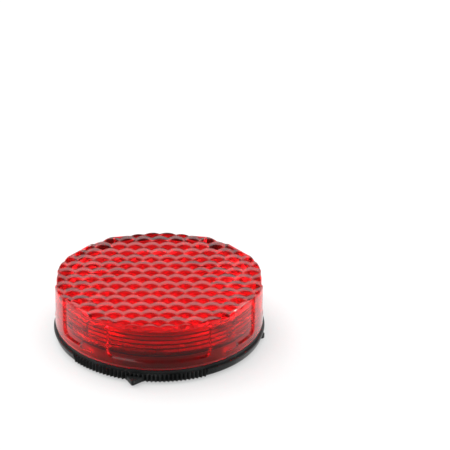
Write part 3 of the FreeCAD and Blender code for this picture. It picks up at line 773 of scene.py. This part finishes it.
@dataclass
class LensCap:
    """The moulded red lens: domed face, windowed wall, fluted bore, skirt and twist lugs.

    Lengths are in millimetres and angles in degrees.
    """

    clocking: float = LENS_CLOCKING
    wall: float = 1.7
    draft: float = 0.1
    bore_draft: float = 0.3
    ceiling: float = 1.7
    edge_round: float = 0.22
    foot_round: float = 0.3
    skirt_inset: float = 0.9
    skirt_drop: float = 0.55
    dome_pitch: float = 2.92
    dome_radius: float = 3.7
    dome_steps: int = 8
    lattice_gap: float = 0.55
    window_depth: float = 0.35
    window_sill: float = 1.6
    window_corner: float = 1.1
    window_edge: float = 0.34
    wide_window: float = 56.0
    narrow_window: float = 18.0
    narrow_places: tuple[float, ...] = (54.0, 90.0, 126.0, -54.0, -90.0, -126.0)
    flutes: int = 5
    flute_pitch: float = 0.76
    flute_depth: float = 0.22
    flute_start: float = 0.15
    lug_count: int = TWIST_LUGS
    lug_width: float = 10.0
    lug_reach: float = 0.7
    lug_height: float = 0.8
    lug_rise: float = 1.05
    spigot_rise: float = 2.65
    plain_step: float = 1.0
    fine_step: float = 0.22
    fine_reach: Span = (4.2, 1.0)
    wall_row: float = 0.45
    sill_row: float = 0.09
    sill_reach: Span = (0.25, 0.2)
    foot: float = field(init=False)
    crest: float = field(init=False)
    radius: float = field(init=False)
    angles: np.ndarray = field(init=False)
    even: np.ndarray = field(init=False)

    def __post_init__(self) -> None:
        """Read the cap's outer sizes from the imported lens, and set out its upright lines."""
        low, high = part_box("lens_cap")
        self.radius = (high.x - low.x) / 2 / MM
        self.crest = high.z / MM
        self.foot = low.z / MM + self.skirt_drop
        self.angles = self.sample_angles()
        self.even = np.ones(self.angles.shape)

    @property
    def windows(self) -> list[Span]:
        """Each window's place round from the front one, and its width, in degrees."""
        return [(0.0, self.wide_window), (180.0, self.wide_window)] + [
            (place, self.narrow_window) for place in self.narrow_places]

    @property
    def dome_turn(self) -> float:
        """Direction of the domes' rows, in radians."""
        return math.radians(self.clocking + 90.0)

    def sample_angles(self) -> np.ndarray:
        """Angles of the cap's upright lines of vertices: close together at the windows' ends.

        Returns:
            The angles in order, in radians.
        """
        found = np.arange(0.0, 360.0, self.plain_step)
        inward, outward = self.fine_reach
        for offset, width in self.windows:
            for side in (-1, 1):
                end = self.clocking + offset + side * width / 2
                low, high = sorted((end - side * inward, end + side * outward))
                middle, half = (low + high) / 2, (high - low) / 2
                found = found[np.abs((found - middle + 180) % 360 - 180) > half]
                found = np.append(found, np.arange(low, high, self.fine_step) % 360)
        ends = [centre + side * self.lug_width / 2
                for centre in self.lug_centres() for side in (-1, 1)]
        found = np.append(found, np.array(both_sides(ends)) % 360)
        return np.radians(np.unique(np.round(found, 3)))

    def dome_height(self, x: np.ndarray, y: np.ndarray) -> np.ndarray:
        """Height of the honeycomb face over points of the plan, in millimetres.

        Args:
            x: The points' X.
            y: The points' Y.

        Returns:
            The height over each point.
        """
        turn = self.dome_turn
        along = x * math.cos(turn) + y * math.sin(turn)
        across = y * math.cos(turn) - x * math.sin(turn)
        row = self.dome_pitch * math.sqrt(3.0)
        nearest = np.full(np.shape(along), 1e9)
        for shift in (0.0, 0.5):
            u = along / self.dome_pitch - shift
            v = across / row - shift
            du, dv = (u - np.round(u)) * self.dome_pitch, (v - np.round(v)) * row
            nearest = np.minimum(nearest, du * du + dv * dv)
        return self.crest - self.dome_radius + np.sqrt(self.dome_radius ** 2 - nearest)

    def window_mask(self, angles: np.ndarray, heights: np.ndarray) -> np.ndarray:
        """How deep the wall lies in a window at each place, from 0, proud, to 1, let in.

        Args:
            angles: Angles of the places, in radians.
            heights: Their heights.

        Returns:
            The depth at each place.
        """
        mask = np.zeros_like(angles)
        for offset, width in self.windows:
            side = np.abs(angle_gap(angles, math.radians(self.clocking + offset))) * self.radius
            across = side - (math.radians(width / 2) * self.radius - self.window_corner)
            below = self.foot + self.window_sill + self.window_corner - heights
            outside = np.hypot(np.maximum(across, 0), np.maximum(below, 0))
            distance = outside + np.minimum(np.maximum(across, below), 0) - self.window_corner
            mask = np.maximum(mask, smoothstep(0.5 - distance / self.window_edge))
        return mask

    def wall_radius(self, angles: np.ndarray, heights: np.ndarray) -> np.ndarray:
        """Outer radius of the drafted wall with its windows."""
        rise = (heights - self.foot) / (self.crest - self.foot)
        return (self.radius - self.draft * rise
                - self.window_depth * self.window_mask(angles, heights))

    def bore_radius(self, height: float) -> float:
        """Inner radius: straight beside the spigot, then tapering to the ceiling.

        Args:
            height: Height on the bore.

        Returns:
            The radius at that height.
        """
        start = self.foot + self.spigot_rise - self.skirt_drop
        rise = (height - start) / (self.crest - self.ceiling - start)
        return self.radius - self.wall - max(0.0, rise) * self.bore_draft

    def face_points(self, rim: np.ndarray) -> np.ndarray:
        """Points of a fine lattice that lines up with the domes' valleys, inside the rim.

        Args:
            rim: Radius of the face's edge at each of the cap's angles.

        Returns:
            Plan positions, one row each.
        """
        spacing = self.dome_pitch / math.sqrt(3.0) / self.dome_steps
        turn = self.dome_turn
        first = np.array([math.cos(turn + math.pi / 6), math.sin(turn + math.pi / 6)]) * spacing
        second = np.array([math.cos(turn + math.pi / 2), math.sin(turn + math.pi / 2)]) * spacing
        span = int(1.3 * self.radius / spacing)
        i, j = np.meshgrid(np.arange(-span, span + 1), np.arange(-span, span + 1))
        points = i.reshape(-1, 1) * first + j.reshape(-1, 1) * second
        angles = np.arctan2(points[:, 1], points[:, 0]) % (2 * math.pi)
        edge = np.interp(angles, self.angles, rim, period=2 * math.pi)
        return points[np.hypot(points[:, 0], points[:, 1]) < edge - self.lattice_gap * spacing]

    def build_face(self, bm: BMesh, rim: np.ndarray) -> list[BMVert]:
        """Mesh the honeycomb face inside a rim.

        Args:
            bm: The mesh being built.
            rim: Radius of the face's edge at each of the cap's angles.

        Returns:
            The vertices of the face's edge, in the order of the angles.
        """
        edge = np.column_stack((rim * np.cos(self.angles), rim * np.sin(self.angles)))
        plan = np.vstack((edge, self.face_points(rim)))
        border = list(range(len(rim)))
        plan_vectors = [Vector(point) for point in plan]
        found = delaunay_2d_cdt(plan_vectors, [], [border], 1, 1e-5, True)
        corners = np.array([tuple(vert) for vert in found[0]])
        heights = self.dome_height(corners[:, 0], corners[:, 1])
        verts = [bm.verts.new(co) for co in zip(corners[:, 0], corners[:, 1], heights)]
        for triangle in found[2]:
            bm.faces.new([verts[index] for index in triangle])
        made_from = {source: index for index, sources in enumerate(found[3]) for source in sources}
        return [verts[made_from[index]] for index in border]

    def wall_rings(self, top: np.ndarray) -> Iterable[Ring]:
        """Rings of the outer wall from the rounded top edge down to the foot.

        Args:
            top: Height of the face's edge at each angle.

        Yields:
            Radii and heights of each ring.
        """
        shoulder = top - self.edge_round
        for turn in np.radians((30.0, 60.0)):
            inset = self.edge_round * (1 - math.sin(turn))
            yield (self.wall_radius(self.angles, shoulder) - inset,
                   shoulder + self.edge_round * math.cos(turn))
        lowest = self.foot + self.foot_round
        sill = self.foot + self.window_sill
        under, over = self.sill_reach
        fine_top, fine_foot = sill + self.window_corner + over, sill - under
        upper = np.linspace(0.0, 1.0, int((self.crest - fine_top) / self.wall_row) + 2)[:-1]
        levels = [shoulder + (fine_top - shoulder) * share for share in upper]
        fine = np.arange(fine_top, fine_foot, -self.sill_row)
        levels += [height * self.even for height in (*fine, *np.linspace(fine_foot, lowest, 4))]
        for heights in levels:
            yield self.wall_radius(self.angles, heights), heights
        for turn in np.radians((30.0, 60.0, 90.0)):
            heights = (lowest - self.foot_round * math.sin(turn)) * self.even
            inset = self.foot_round * (1 - math.cos(turn))
            yield self.wall_radius(self.angles, heights) - inset, heights

    def bore_rings(self) -> Iterable[Ring]:
        """Radii and heights from the skirt up the bore, past lugs and flutes, to the ceiling.

        Yields:
            Radii and heights of each ring.
        """
        low, lugs = self.foot - self.skirt_drop, self.lug_radius()
        skirt, bore = self.radius - self.skirt_inset, self.radius - self.wall
        lug_foot = low + self.lug_rise
        lug_top = lug_foot + self.lug_height
        for radius, height in ((skirt, self.foot), (skirt, low), (bore, low), (bore, lug_foot),
                               (lugs, lug_foot), (lugs, lug_top), (bore, lug_top),
                               (bore, low + self.spigot_rise)):
            yield radius * self.even, height * self.even
        top = self.crest - self.ceiling - self.flute_start
        for flute in range(self.flutes, 0, -1):
            foot = top - flute * self.flute_pitch
            middle = foot + self.flute_pitch / 2
            yield self.bore_radius(foot) * self.even, foot * self.even
            yield (self.bore_radius(middle) + self.flute_depth) * self.even, middle * self.even
        for height in (top, self.crest - self.ceiling):
            yield self.bore_radius(height) * self.even, height * self.even

    def lug_centres(self) -> list[float]:
        """Angles of the twist lugs' middles."""
        return [self.clocking + (lug + 0.5) * 360.0 / self.lug_count
                for lug in range(self.lug_count)]

    def lug_radius(self) -> np.ndarray:
        """Inner radius at each angle on the level of the twist lugs.

        Returns:
            The radius at each of the cap's angles.
        """
        radii = (self.radius - self.wall) * self.even
        for centre in self.lug_centres():
            turn = np.abs(angle_gap(self.angles, math.radians(centre)))
            radii[turn < math.radians(self.lug_width / 2)] -= self.lug_reach
        return radii

    def build(self) -> Object:
        """Build the cap as one closed mesh.

        Returns:
            The lens, in place.
        """
        lathe = Lathe(self.angles)
        flat_top = (self.crest - self.edge_round) * self.even
        rim = self.wall_radius(self.angles, flat_top) - self.edge_round
        top = self.dome_height(rim * np.cos(self.angles), rim * np.sin(self.angles))
        lathe.rows.append(self.build_face(lathe.bm, rim))
        for ring in (*self.wall_rings(top), *self.bore_rings()):
            lathe.ring(*ring)
        return lathe.finish("lens_moulded", self.crest - self.ceiling)

    def dress(self) -> None:
        """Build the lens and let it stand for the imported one."""
        seat(self.build(), Body.LENS, "lens_red", RED_LENS, "lens_cap")


# --- Base ---


@dataclass
class BaseShell:
    """The black base: knurled and tapered rim, pointer, nubs, collar and slotted spigot.

    Lengths are in millimetres and angles in degrees.
    """

    pointer_angle: float = -90.0
    lens_clocking: float = LENS_CLOCKING
    flange_height: float = 1.35
    flange_land: float = 0.2
    flange_taper: float = 0.35
    edge_break: float = 0.1
    break_middle: float = 0.3
    teeth: int = 35
    tooth_pitch: float = 2.2
    tooth_samples: tuple[float, ...] = (0.0, 0.12, 0.3, 0.42, 0.5, 0.58, 0.7, 0.88)
    tooth_round: float = 0.35
    pointer_width: float = 2.7
    pointer_reach: float = 1.6
    point_height: float = 0.85
    nub_width: float = 1.0
    nub_reach: float = 0.35
    nub_offset: float = 91.0
    tip_flat: float = 0.17
    pointer_fine: Span = (5.0, 0.25)
    nub_fine: Span = (1.8, 0.2)
    recess_margin: float = 0.35
    recess_depth: float = 0.4
    collar_inset: float = 0.45
    collar_thickness: float = 0.55
    collar_height: float = 0.6
    collar_window: float = 78.0
    spigot_outer: float = 16.1
    spigot_thickness: float = 1.2
    spigot_height: float = 2.75
    seat_width: float = 1.0
    seat_height: float = 0.85
    slot_depth: float = 0.6
    slot_rise: Span = (1.05, 2.05)
    slot_reach: Span = (17.6, 18.6)
    slot_entry: float = 11.2
    slots: int = TWIST_LUGS
    plain_step: float = 1.0
    foot: float = field(init=False)
    rim: float = field(init=False)
    pad: float = field(init=False)
    angles: np.ndarray = field(init=False)
    even: np.ndarray = field(init=False)

    def __post_init__(self) -> None:
        """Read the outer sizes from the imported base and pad, and set out the upright lines."""
        low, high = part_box("base_shell")
        self.foot = low.z / MM
        self.rim = high.y / MM
        pad_low, pad_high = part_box("adhesive_foam_pad")
        self.pad = (pad_high.x - pad_low.x) / 2 / MM
        self.angles = self.sample_angles()
        self.even = np.ones(self.angles.shape)

    @property
    def plate_top(self) -> float:
        """Height of the plate that the collar and the spigot stand on."""
        return self.foot + self.flange_height

    @property
    def far_angle(self) -> float:
        """Angle opposite the pointer."""
        return self.pointer_angle + 180.0

    def sample_angles(self) -> np.ndarray:
        """Angles of the upright lines of vertices: fine on the teeth, coarse elsewhere.

        Returns:
            The angles in order, in radians.
        """
        found = set(np.arange(-180.0, 180.0, self.plain_step).tolist())
        half = self.teeth * self.tooth_pitch / 2
        for centre in (self.pointer_angle, self.far_angle):
            found = {a for a in found if abs((a - centre + 180) % 360 - 180) > half}
            for tooth in range(self.teeth):
                start = centre - half + tooth * self.tooth_pitch
                found.update(start + share * self.tooth_pitch for share in self.tooth_samples)
            found.update((centre - half - STEP_HALF, centre + half, centre + half + STEP_HALF))
        nubs = [self.pointer_angle + side * self.nub_offset for side in (-1, 1)]
        for middle, (reach, step) in ((self.pointer_angle, self.pointer_fine),
                                      (nubs[0], self.nub_fine), (nubs[1], self.nub_fine)):
            count = round(reach / step)
            found.update(middle + step * turn for turn in range(-count, count + 1))
        cuts = [self.far_angle + side * self.collar_window / 2 for side in (-1, 1)]
        cuts += [end for span in self.slot_spans() + self.entry_spans() for end in span]
        found.update(both_sides(cuts))
        wrapped = sorted({round((a + 180.0) % 360.0 - 180.0, 4) for a in found})
        return np.radians(np.array(wrapped))

    def slot_spans(self) -> list[Span]:
        """Start and end angle of each lug's level run.

        Returns:
            One span for each slot, in degrees.
        """
        spans = []
        for slot in range(self.slots):
            centre = self.lens_clocking + (slot + 0.5) * 360.0 / self.slots
            spans.append((centre - self.slot_reach[0], centre + self.slot_reach[1]))
        return spans

    def entry_spans(self) -> list[Span]:
        """Start and end angle of each lug's way in."""
        return [(end - self.slot_entry, end) for _, end in self.slot_spans()]

    def inside(self, spans: Sequence[Span]) -> np.ndarray:
        """Whether each of the base's angles lies in one of the spans.

        Args:
            spans: Start and end angles, in degrees.

        Returns:
            True at each angle that does.
        """
        found = np.zeros(self.angles.shape, bool)
        for start, end in spans:
            middle, half = math.radians((start + end) / 2), math.radians((end - start) / 2)
            found |= np.abs(angle_gap(self.angles, middle)) <= half
        return found

    def tooth_radius(self) -> np.ndarray:
        """Radius of the knurl at each angle, with slightly rounded crests and roots.

        Returns:
            The radius at each of the base's angles.
        """
        start = math.radians(self.pointer_angle - self.teeth * self.tooth_pitch / 2)
        phase = angle_gap(self.angles, start) % math.pi / math.radians(self.tooth_pitch) % 1.0
        wave = 1.0 - np.abs(2.0 * phase - 1.0)
        rounded = smoothstep(wave) * self.tooth_round + wave * (1.0 - self.tooth_round)
        return self.rim - self.flange_taper * (1.0 - rounded)

    def point_radius(self, centre: float, width: float, reach: float) -> np.ndarray:
        """Radius of a triangular point on the rim, or 0 away from it.

        Args:
            centre: Angle of the point's tip.
            width: Width of its root.
            reach: How far the tip stands out from the rim.

        Returns:
            The radius at each of the base's angles.
        """
        turn = angle_gap(self.angles, math.radians(centre))
        root, tip = self.rim - self.edge_break, self.rim + reach
        slope = (tip - root) / (width / 2)
        radius = tip / (np.cos(turn) + slope * np.abs(np.sin(turn)))
        radius = np.minimum(radius, (tip - self.tip_flat) / np.maximum(np.cos(turn), 0.1))
        near = np.abs(np.tan(turn)) * root <= width / 2
        return np.where(near & (np.abs(turn) < 0.5), np.maximum(radius, 0.0), 0.0)

    def rim_radius(self, height: float) -> np.ndarray:
        """Radius of the tapered and knurled rim at a height, without its points.

        Args:
            height: Height on the rim.

        Returns:
            The radius at each of the base's angles.
        """
        land = self.plate_top - self.edge_break - self.flange_land
        share = min(1.0, (height - self.foot) / (land - self.foot))
        plain = self.even * (self.rim - self.flange_taper * (1.0 - share))
        half = self.teeth * self.tooth_pitch / 2
        grips = [(c - half, c + half) for c in (self.pointer_angle, self.far_angle)]
        return np.where(self.inside(grips), self.tooth_radius(), plain)

    def pointed_radius(self, height: float) -> np.ndarray:
        """Radius of the rim at a height, with the pointer and the nubs.

        Args:
            height: Height on the rim.

        Returns:
            The radius at each of the base's angles.
        """
        radius = self.rim_radius(height)
        points = [(self.pointer_angle, self.pointer_width, self.pointer_reach)]
        points += [(self.pointer_angle + side * self.nub_offset, self.nub_width, self.nub_reach)
                   for side in (-1, 1)]
        for point in points:
            radius = np.maximum(radius, self.point_radius(*point))
        return radius

    def rings(self) -> Iterable[Ring]:
        """Radii and heights of the section, from the pad recess round the rim to the middle.

        Yields:
            Radii and heights of each ring.
        """
        low, high, bend = self.foot, self.plate_top, self.edge_break
        soft = bend * self.break_middle
        recess, step = self.pad + self.recess_margin, self.foot + self.point_height
        for radius, height in ((recess, low + self.recess_depth), (recess, low + bend / 2),
                               (recess + bend / 2, low)):
            yield radius * self.even, height * self.even
        for inset, height in ((bend, low), (soft, low + soft), (0.0, low + bend),
                              (0.0, step - bend), (soft, step - soft), (bend, step)):
            yield self.pointed_radius(height) - inset, height * self.even
        for inset, height in ((0.0, step), (0.0, high - bend - self.flange_land),
                              (0.0, high - bend), (soft, high - soft), (bend, high)):
            yield self.rim_radius(height) - inset, height * self.even
        yield from self.collar_rings()
        yield from self.spigot_rings()

    def collar_rings(self) -> Iterable[Ring]:
        """Radii and heights over the collar, which drops to the plate in its window.

        Yields:
            Radii and heights of each ring.
        """
        half, bend, low = self.collar_window / 2, self.edge_break / 2, self.plate_top
        opened = self.inside([(self.far_angle - half, self.far_angle + half)])
        outer = self.rim - self.collar_inset
        inner = outer - self.collar_thickness
        foot = low * self.even
        top = np.where(opened, low, low + self.collar_height)
        shoulder = np.where(opened, low, top - bend)
        for radius, heights in ((outer, foot), (outer, shoulder), (outer - bend, top),
                                (inner + bend, top), (inner, shoulder), (inner, foot)):
            yield radius * self.even, heights

    def spigot_rings(self) -> Iterable[Ring]:
        """Radii and heights over the spigot with its lug slots, and down to the board's seat.

        Yields:
            Radii and heights of each ring.
        """
        low = self.plate_top
        outer = self.spigot_outer * self.even
        run, entry = (np.where(self.inside(spans), outer - self.slot_depth, outer)
                      for spans in (self.slot_spans(), self.entry_spans()))
        floor, roof = (low + rise for rise in self.slot_rise)
        top, bench = low + self.spigot_height, low + self.seat_height
        inner = (self.spigot_outer - self.spigot_thickness) * self.even
        seat_edge = inner - self.seat_width
        for radii, height in ((outer, low), (outer, floor), (run, floor), (run, roof),
                              (entry, roof), (entry, top), (inner, top), (inner, bench),
                              (seat_edge, bench), (seat_edge, low)):
            yield radii, height * self.even

    def build(self) -> Object:
        """Build the base as one closed mesh.

        Returns:
            The base, in place.
        """
        lathe = Lathe(self.angles)
        for ring in self.rings():
            lathe.ring(*ring)
        return lathe.finish("base_moulded", self.plate_top, self.foot + self.recess_depth)

    def dress(self) -> None:
        """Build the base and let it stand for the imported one."""
        seat(self.build(), Body.BASE, "base_black", BLACK_BASE, "base_shell")


# --- Pad ---


@dataclass
class StickOnPad:
    """The foam pad and its release liner, let into the back of the base."""

    steps: int = 240
    rings: int = 24
    edge_round: float = 0.06
    foam_bulge: float = 0.05
    liner_wave: float = 0.012
    smooth_angle: float = 50.0

    def disc(self, name: str, node: str, bulge: float, wave: float) -> Object:
        """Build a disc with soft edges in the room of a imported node.

        Args:
            name: Name of the new piece.
            node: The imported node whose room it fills.
            bulge: How far the disc's edge swells at mid height, in millimetres.
            wave: How far the underside lifts in slow waves, in millimetres.

        Returns:
            The disc, in place.
        """
        low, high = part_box(node)
        radius, bottom, top = (high.x - low.x) / 2 / MM, low.z / MM, high.z / MM
        soft = min(self.edge_round, (top - bottom) / 3)
        lathe = Lathe(np.linspace(0.0, 2 * math.pi, self.steps, endpoint=False))
        even = np.ones(self.steps)
        for share in np.arange(1, self.rings + 1) / self.rings:
            reach = (radius - soft - bulge) * share
            lift = wave * (0.5 + 0.5 * np.sin(3 * lathe.angles + 5.0 * reach / radius))
            lathe.ring(reach * even, bottom + lift * smoothstep(share))
        middle = (bottom + top) / 2
        for reach, height in ((radius - bulge, bottom + soft), (radius, middle),
                              (radius - bulge, top - soft), (radius - bulge - soft, top)):
            lathe.ring(reach * even, height * even)
        return lathe.finish(name, top, bottom, self.smooth_angle)

    def dress(self) -> None:
        """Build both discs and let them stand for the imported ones."""
        foam = self.disc("foam_pad", "adhesive_foam_pad", self.foam_bulge, 0.0)
        seat(foam, Body.BASE, "pad_foam", FOAM_WHITE, "adhesive_foam_pad")
        liner = self.disc("liner_disc", "release_liner", 0.0, self.liner_wave)
        seat(liner, Body.BASE, "liner_paper", LINER_WHITE, "release_liner")


# --- Inside ---


@dataclass
class BoardStack:
    """What the housing holds: the board and its parts, the cell, its holder and contacts."""

    finishes: tuple[tuple[str, Finish], ...] = (
        ("circuit_board", BOARD_WHITE), ("board_screw", SCREW_ZINC),
        ("coin_cell_can", CELL_NICKEL), ("coin_cell_cap", CELL_NICKEL),
        ("coin_cell_gasket", GASKET_GREY), ("cell_holder", HOLDER_NATURAL),
        ("positive_clip", SPRING_STEEL), ("negative_spring", SPRING_STEEL),
        ("led_package", LAMP_WHITE), ("led_window", LAMP_RESIN), ("led_terminals", TIN),
        ("reed_glass", TUBE_GLASS), ("reed_lead", TIN), ("controller_chip", CHIP_BLACK),
        ("controller_pins", TIN), ("resistor", RESISTOR_GLAZE), ("capacitor", CAPACITOR_TAN))

    def dress(self) -> None:
        """Give each packed inner node its finish, by the start of its name."""
        for node in sorted(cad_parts):
            for start, finish in self.finishes:
                if node.startswith(start):
                    dress_node(node, finish)
                    LOG.info("dressed %s with %s", node, finish.name)


# --- Studio ---


@dataclass(frozen=True)
class Lamp:
    """A soft oval lamp that faces the origin, and whether mirrors show it."""

    name: str
    place: Point
    size: Span
    power: float
    mirrored: bool = False

    def hang(self) -> Object:
        """Add the lamp to the scene.

        Returns:
            The lamp.
        """
        data = bpy.data.lights.new(self.name, "AREA")
        data.shape, data.energy = "ELLIPSE", self.power
        data.size, data.size_y = self.size
        lamp = bpy.data.objects.new(self.name, data)
        bpy.context.scene.collection.objects.link(lamp)
        lamp.location = self.place
        lamp.rotation_euler = Vector(self.place).to_track_quat("Z", "Y").to_euler()
        lamp.visible_glossy = self.mirrored
        return lamp


@dataclass
class Studio:
    """Camera, white floor and world, with a soft key behind on the left, side and glint lamps."""

    azimuth: float = 10.1
    elevation: float = 25.2
    roll: float = 1.05
    lens_mm: float = 112.0
    sensor_mm: float = 36.0
    distance: float = 244.62 * MM
    aim_right: float = -11.1 * MM
    aim_up: float = -18.09 * MM
    floor_size: float = 3.0
    floor_albedo: float = 0.24
    floor_lift: float = 0.85
    floor_mirrored: float = 1.0
    floor_front: float = 0.35
    floor_turn: Span = (0.85, 0.35)
    floor_bounce: float = 0.60
    # Painted contact shadow round the lamp: how far it reaches, and how far it darkens the floor's
    # glow.
    painted_shadow_reach: float = 8.0 * MM
    painted_shadow_depth: float = 0.50
    world_fill: float = 0.50
    bounces: int = 20
    horizon_glare: float = 0.35
    ceiling_glare: float = 0.05
    sky_rise: Span = (0.1, 0.5)
    panel_glare: float = 2.0
    panel_rise: Span = (-0.05, 0.70)
    panel_fall: Span = (0.54, 0.68)
    panel_side: Span = (0.40, 0.55)
    side_lamps: tuple[str, str] = ("left", "right")
    lamps: tuple[Lamp, ...] = (
        Lamp("key", (-0.9, 0.7, 0.8), (1.2, 1.2), 10.0),
        Lamp("left", (-1.05, -0.15, 0.32), (0.9, 0.9), 58.0),
        Lamp("right", (1.05, 0.1, 0.32), (0.9, 0.9), 46.0),
        Lamp("rim", (-0.92, -0.16, 0.55), (0.35, 0.35), 2.0, mirrored=True),
        Lamp("top", (-0.42, -0.40, 0.94), (1.0, 0.4), 1.4, mirrored=True))

    def axes(self) -> tuple[Vector, Vector, Vector]:
        """The camera's right, up and backward directions.

        Returns:
            Three unit vectors.
        """
        a, e = math.radians(self.azimuth), math.radians(self.elevation)
        back = Vector((math.sin(a) * math.cos(e), -math.cos(a) * math.cos(e), math.sin(e)))
        right = Vector((math.cos(a), math.sin(a), 0.0))
        up = back.cross(right)
        return right, up, back

    def camera(self) -> None:
        """Place the camera, aimed off the lamp so that the lamp sits low on the left."""
        right, up, back = self.axes()
        data = bpy.data.cameras.new("camera")
        data.lens, data.sensor_width = self.lens_mm, self.sensor_mm
        data.clip_start, data.clip_end = 0.01, 20.0
        camera = bpy.data.objects.new("camera", data)
        bpy.context.scene.collection.objects.link(camera)
        rim_foot = Vector((0.0, 0.0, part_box("base_shell")[0].z))
        place = rim_foot + back * self.distance - right * self.aim_right - up * self.aim_up
        level = Matrix((right, up, back)).transposed()
        turn = level @ Matrix.Rotation(math.radians(self.roll), 3, "Z")
        camera.matrix_world = Matrix.Translation(place) @ turn.to_4x4()
        bpy.context.scene.camera = camera

    def floor(self) -> None:
        """Lay a white floor that keeps the lamp's soft shadow and is clear from below.

        Its seen glow also carries a painted contact shadow, darkened by ambient occlusion near the
        lamp.
        """
        bm = bmesh.new()
        bmesh.ops.create_grid(bm, x_segments=1, y_segments=1, size=self.floor_size / 2)
        floor = finish_mesh(bm, "floor")
        material = bpy.data.materials.new("floor_white")
        nodes = Nodes.of(material)
        matt = nodes.add("BsdfDiffuse", Color=(self.floor_albedo,) * 3)
        # Painted contact shadow: ambient occlusion darkens the floor's seen glow near the lamp.
        painted_shadow_ao = nodes.add("AmbientOcclusion", samples=8,
                             Distance=self.painted_shadow_reach).outputs["AO"]
        lift = nodes.product(nodes.between(painted_shadow_ao, 1.0 - self.painted_shadow_depth, 1.0),
                             self.floor_lift)
        path = nodes.add("LightPath").outputs
        seen = nodes.math("MAXIMUM", path["Is Camera Ray"], path["Is Transmission Ray"])
        bounced = nodes.product(nodes.math("SUBTRACT", 1.0, seen), self.floor_bounce)
        glow = nodes.add("Emission", Color=WHITE,
                         Strength=nodes.math("ADD", nodes.product(seen, lift), bounced))
        both = nodes.add("AddShader")
        nodes.feed(both, 0, matt.outputs[0])
        nodes.feed(both, 1, glow.outputs[0])
        mirrored = nodes.add("Emission", Color=WHITE,
                             Strength=self.mirrored_floor(nodes))
        above = nodes.choose(path["Is Glossy Ray"], both.outputs[0], mirrored.outputs[0])
        below = nodes.add("BsdfTransparent").outputs[0]
        backfacing = nodes.add("NewGeometry").outputs["Backfacing"]
        nodes.end("OutputMaterial", nodes.choose(backfacing, above, below))
        floor.data.materials.append(material)

    def facing(self, nodes: Nodes, direction: object, away: float) -> NodeSocket:
        """Cosine between a direction and the level line to the camera, or away from it at -1.

        Args:
            nodes: The nodes of the material or world.
            direction: The direction to compare.
            away: 1 to compare with the line to the camera, -1 with the line away from it.

        Returns:
            The cosine.
        """
        a = math.radians(self.azimuth)
        level = (away * math.sin(a), -away * math.cos(a), 0.0)
        return nodes.vector("DOT_PRODUCT", direction, level).outputs["Value"]

    def mirrored_floor(self, nodes: Nodes) -> NodeSocket:
        """Floor as the lamp mirrors it: shaded in front, bright at the sides and behind."""
        place = nodes.vector("NORMALIZE", nodes.place()).outputs["Vector"]
        return nodes.between(nodes.ramp(self.facing(nodes, place, 1.0), *self.floor_turn),
                             self.floor_front, self.floor_mirrored)

    def mirrored_sky(self, nodes: Nodes) -> NodeSocket:
        """Sky as the lamp mirrors it: grey horizon, dark ceiling and a tall panel far behind.

        Args:
            nodes: The world's nodes.

        Returns:
            The sky's brightness in that direction.
        """
        toward = nodes.add("TexCoord").outputs["Generated"]
        height = nodes.height(toward)
        rising = nodes.remap(height, self.panel_rise, (self.horizon_glare, self.panel_glare))
        falling = nodes.between(nodes.ramp(height, *self.panel_fall), 1.0, 0.0)
        behind = nodes.ramp(self.facing(nodes, toward, -1.0), *self.panel_side)
        panel = nodes.product(rising, falling, behind)
        sky = nodes.between(nodes.ramp(height, *self.sky_rise), self.horizon_glare,
                            self.ceiling_glare)
        return nodes.math("MAXIMUM", panel, sky)

    def world(self) -> None:
        """Surround the lamp with plain white light, at full strength only where it is seen."""
        world = bpy.data.worlds.new("studio")
        nodes = Nodes.of(world)
        path = nodes.add("LightPath").outputs
        glossy = path["Is Glossy Ray"]
        direct = nodes.math("MAXIMUM", path["Is Camera Ray"], path["Is Transmission Ray"])
        mirrored = nodes.product(glossy, self.mirrored_sky(nodes))
        spread = nodes.math("SUBTRACT", 1.0, nodes.math("MAXIMUM", direct, glossy))
        total = nodes.math("ADD", nodes.math("MAXIMUM", direct, mirrored),
                           nodes.product(spread, self.world_fill))
        sky = nodes.add("Background", Color=WHITE, Strength=total)
        nodes.end("OutputWorld", sky.outputs[0])
        bpy.context.scene.world = world

    def hang_lamps(self) -> None:
        """Hang the lamps; the side lamps leave the floor alone."""
        sides = bpy.data.collections.new("lit_by_sides")
        sides.objects.link(bpy.data.objects["floor"])
        sides.collection_objects[0].light_linking.link_state = "EXCLUDE"
        for lamp in self.lamps:
            lit = lamp.hang()
            if lamp.name in self.side_lamps:
                lit.light_linking.receiver_collection = sides

    def build(self) -> None:
        """Set up the whole studio."""
        self.camera()
        self.floor()
        self.world()
        self.hang_lamps()
        scene = bpy.context.scene
        scene.view_settings.view_transform = "Standard"
        scene.cycles.max_bounces = self.bounces
        scene.cycles.glossy_bounces = self.bounces
        scene.cycles.transmission_bounces = self.bounces


def main() -> None:
    """Build the studio, then each sub-assembly in order."""
    logging.basicConfig(level=logging.INFO, format="%(name)s: %(message)s")
    Studio().build()
    for assembly in (LensCap(), BaseShell(), StickOnPad(), BoardStack()):
        assembly.dress()


if __name__ == "__main__":
    main()
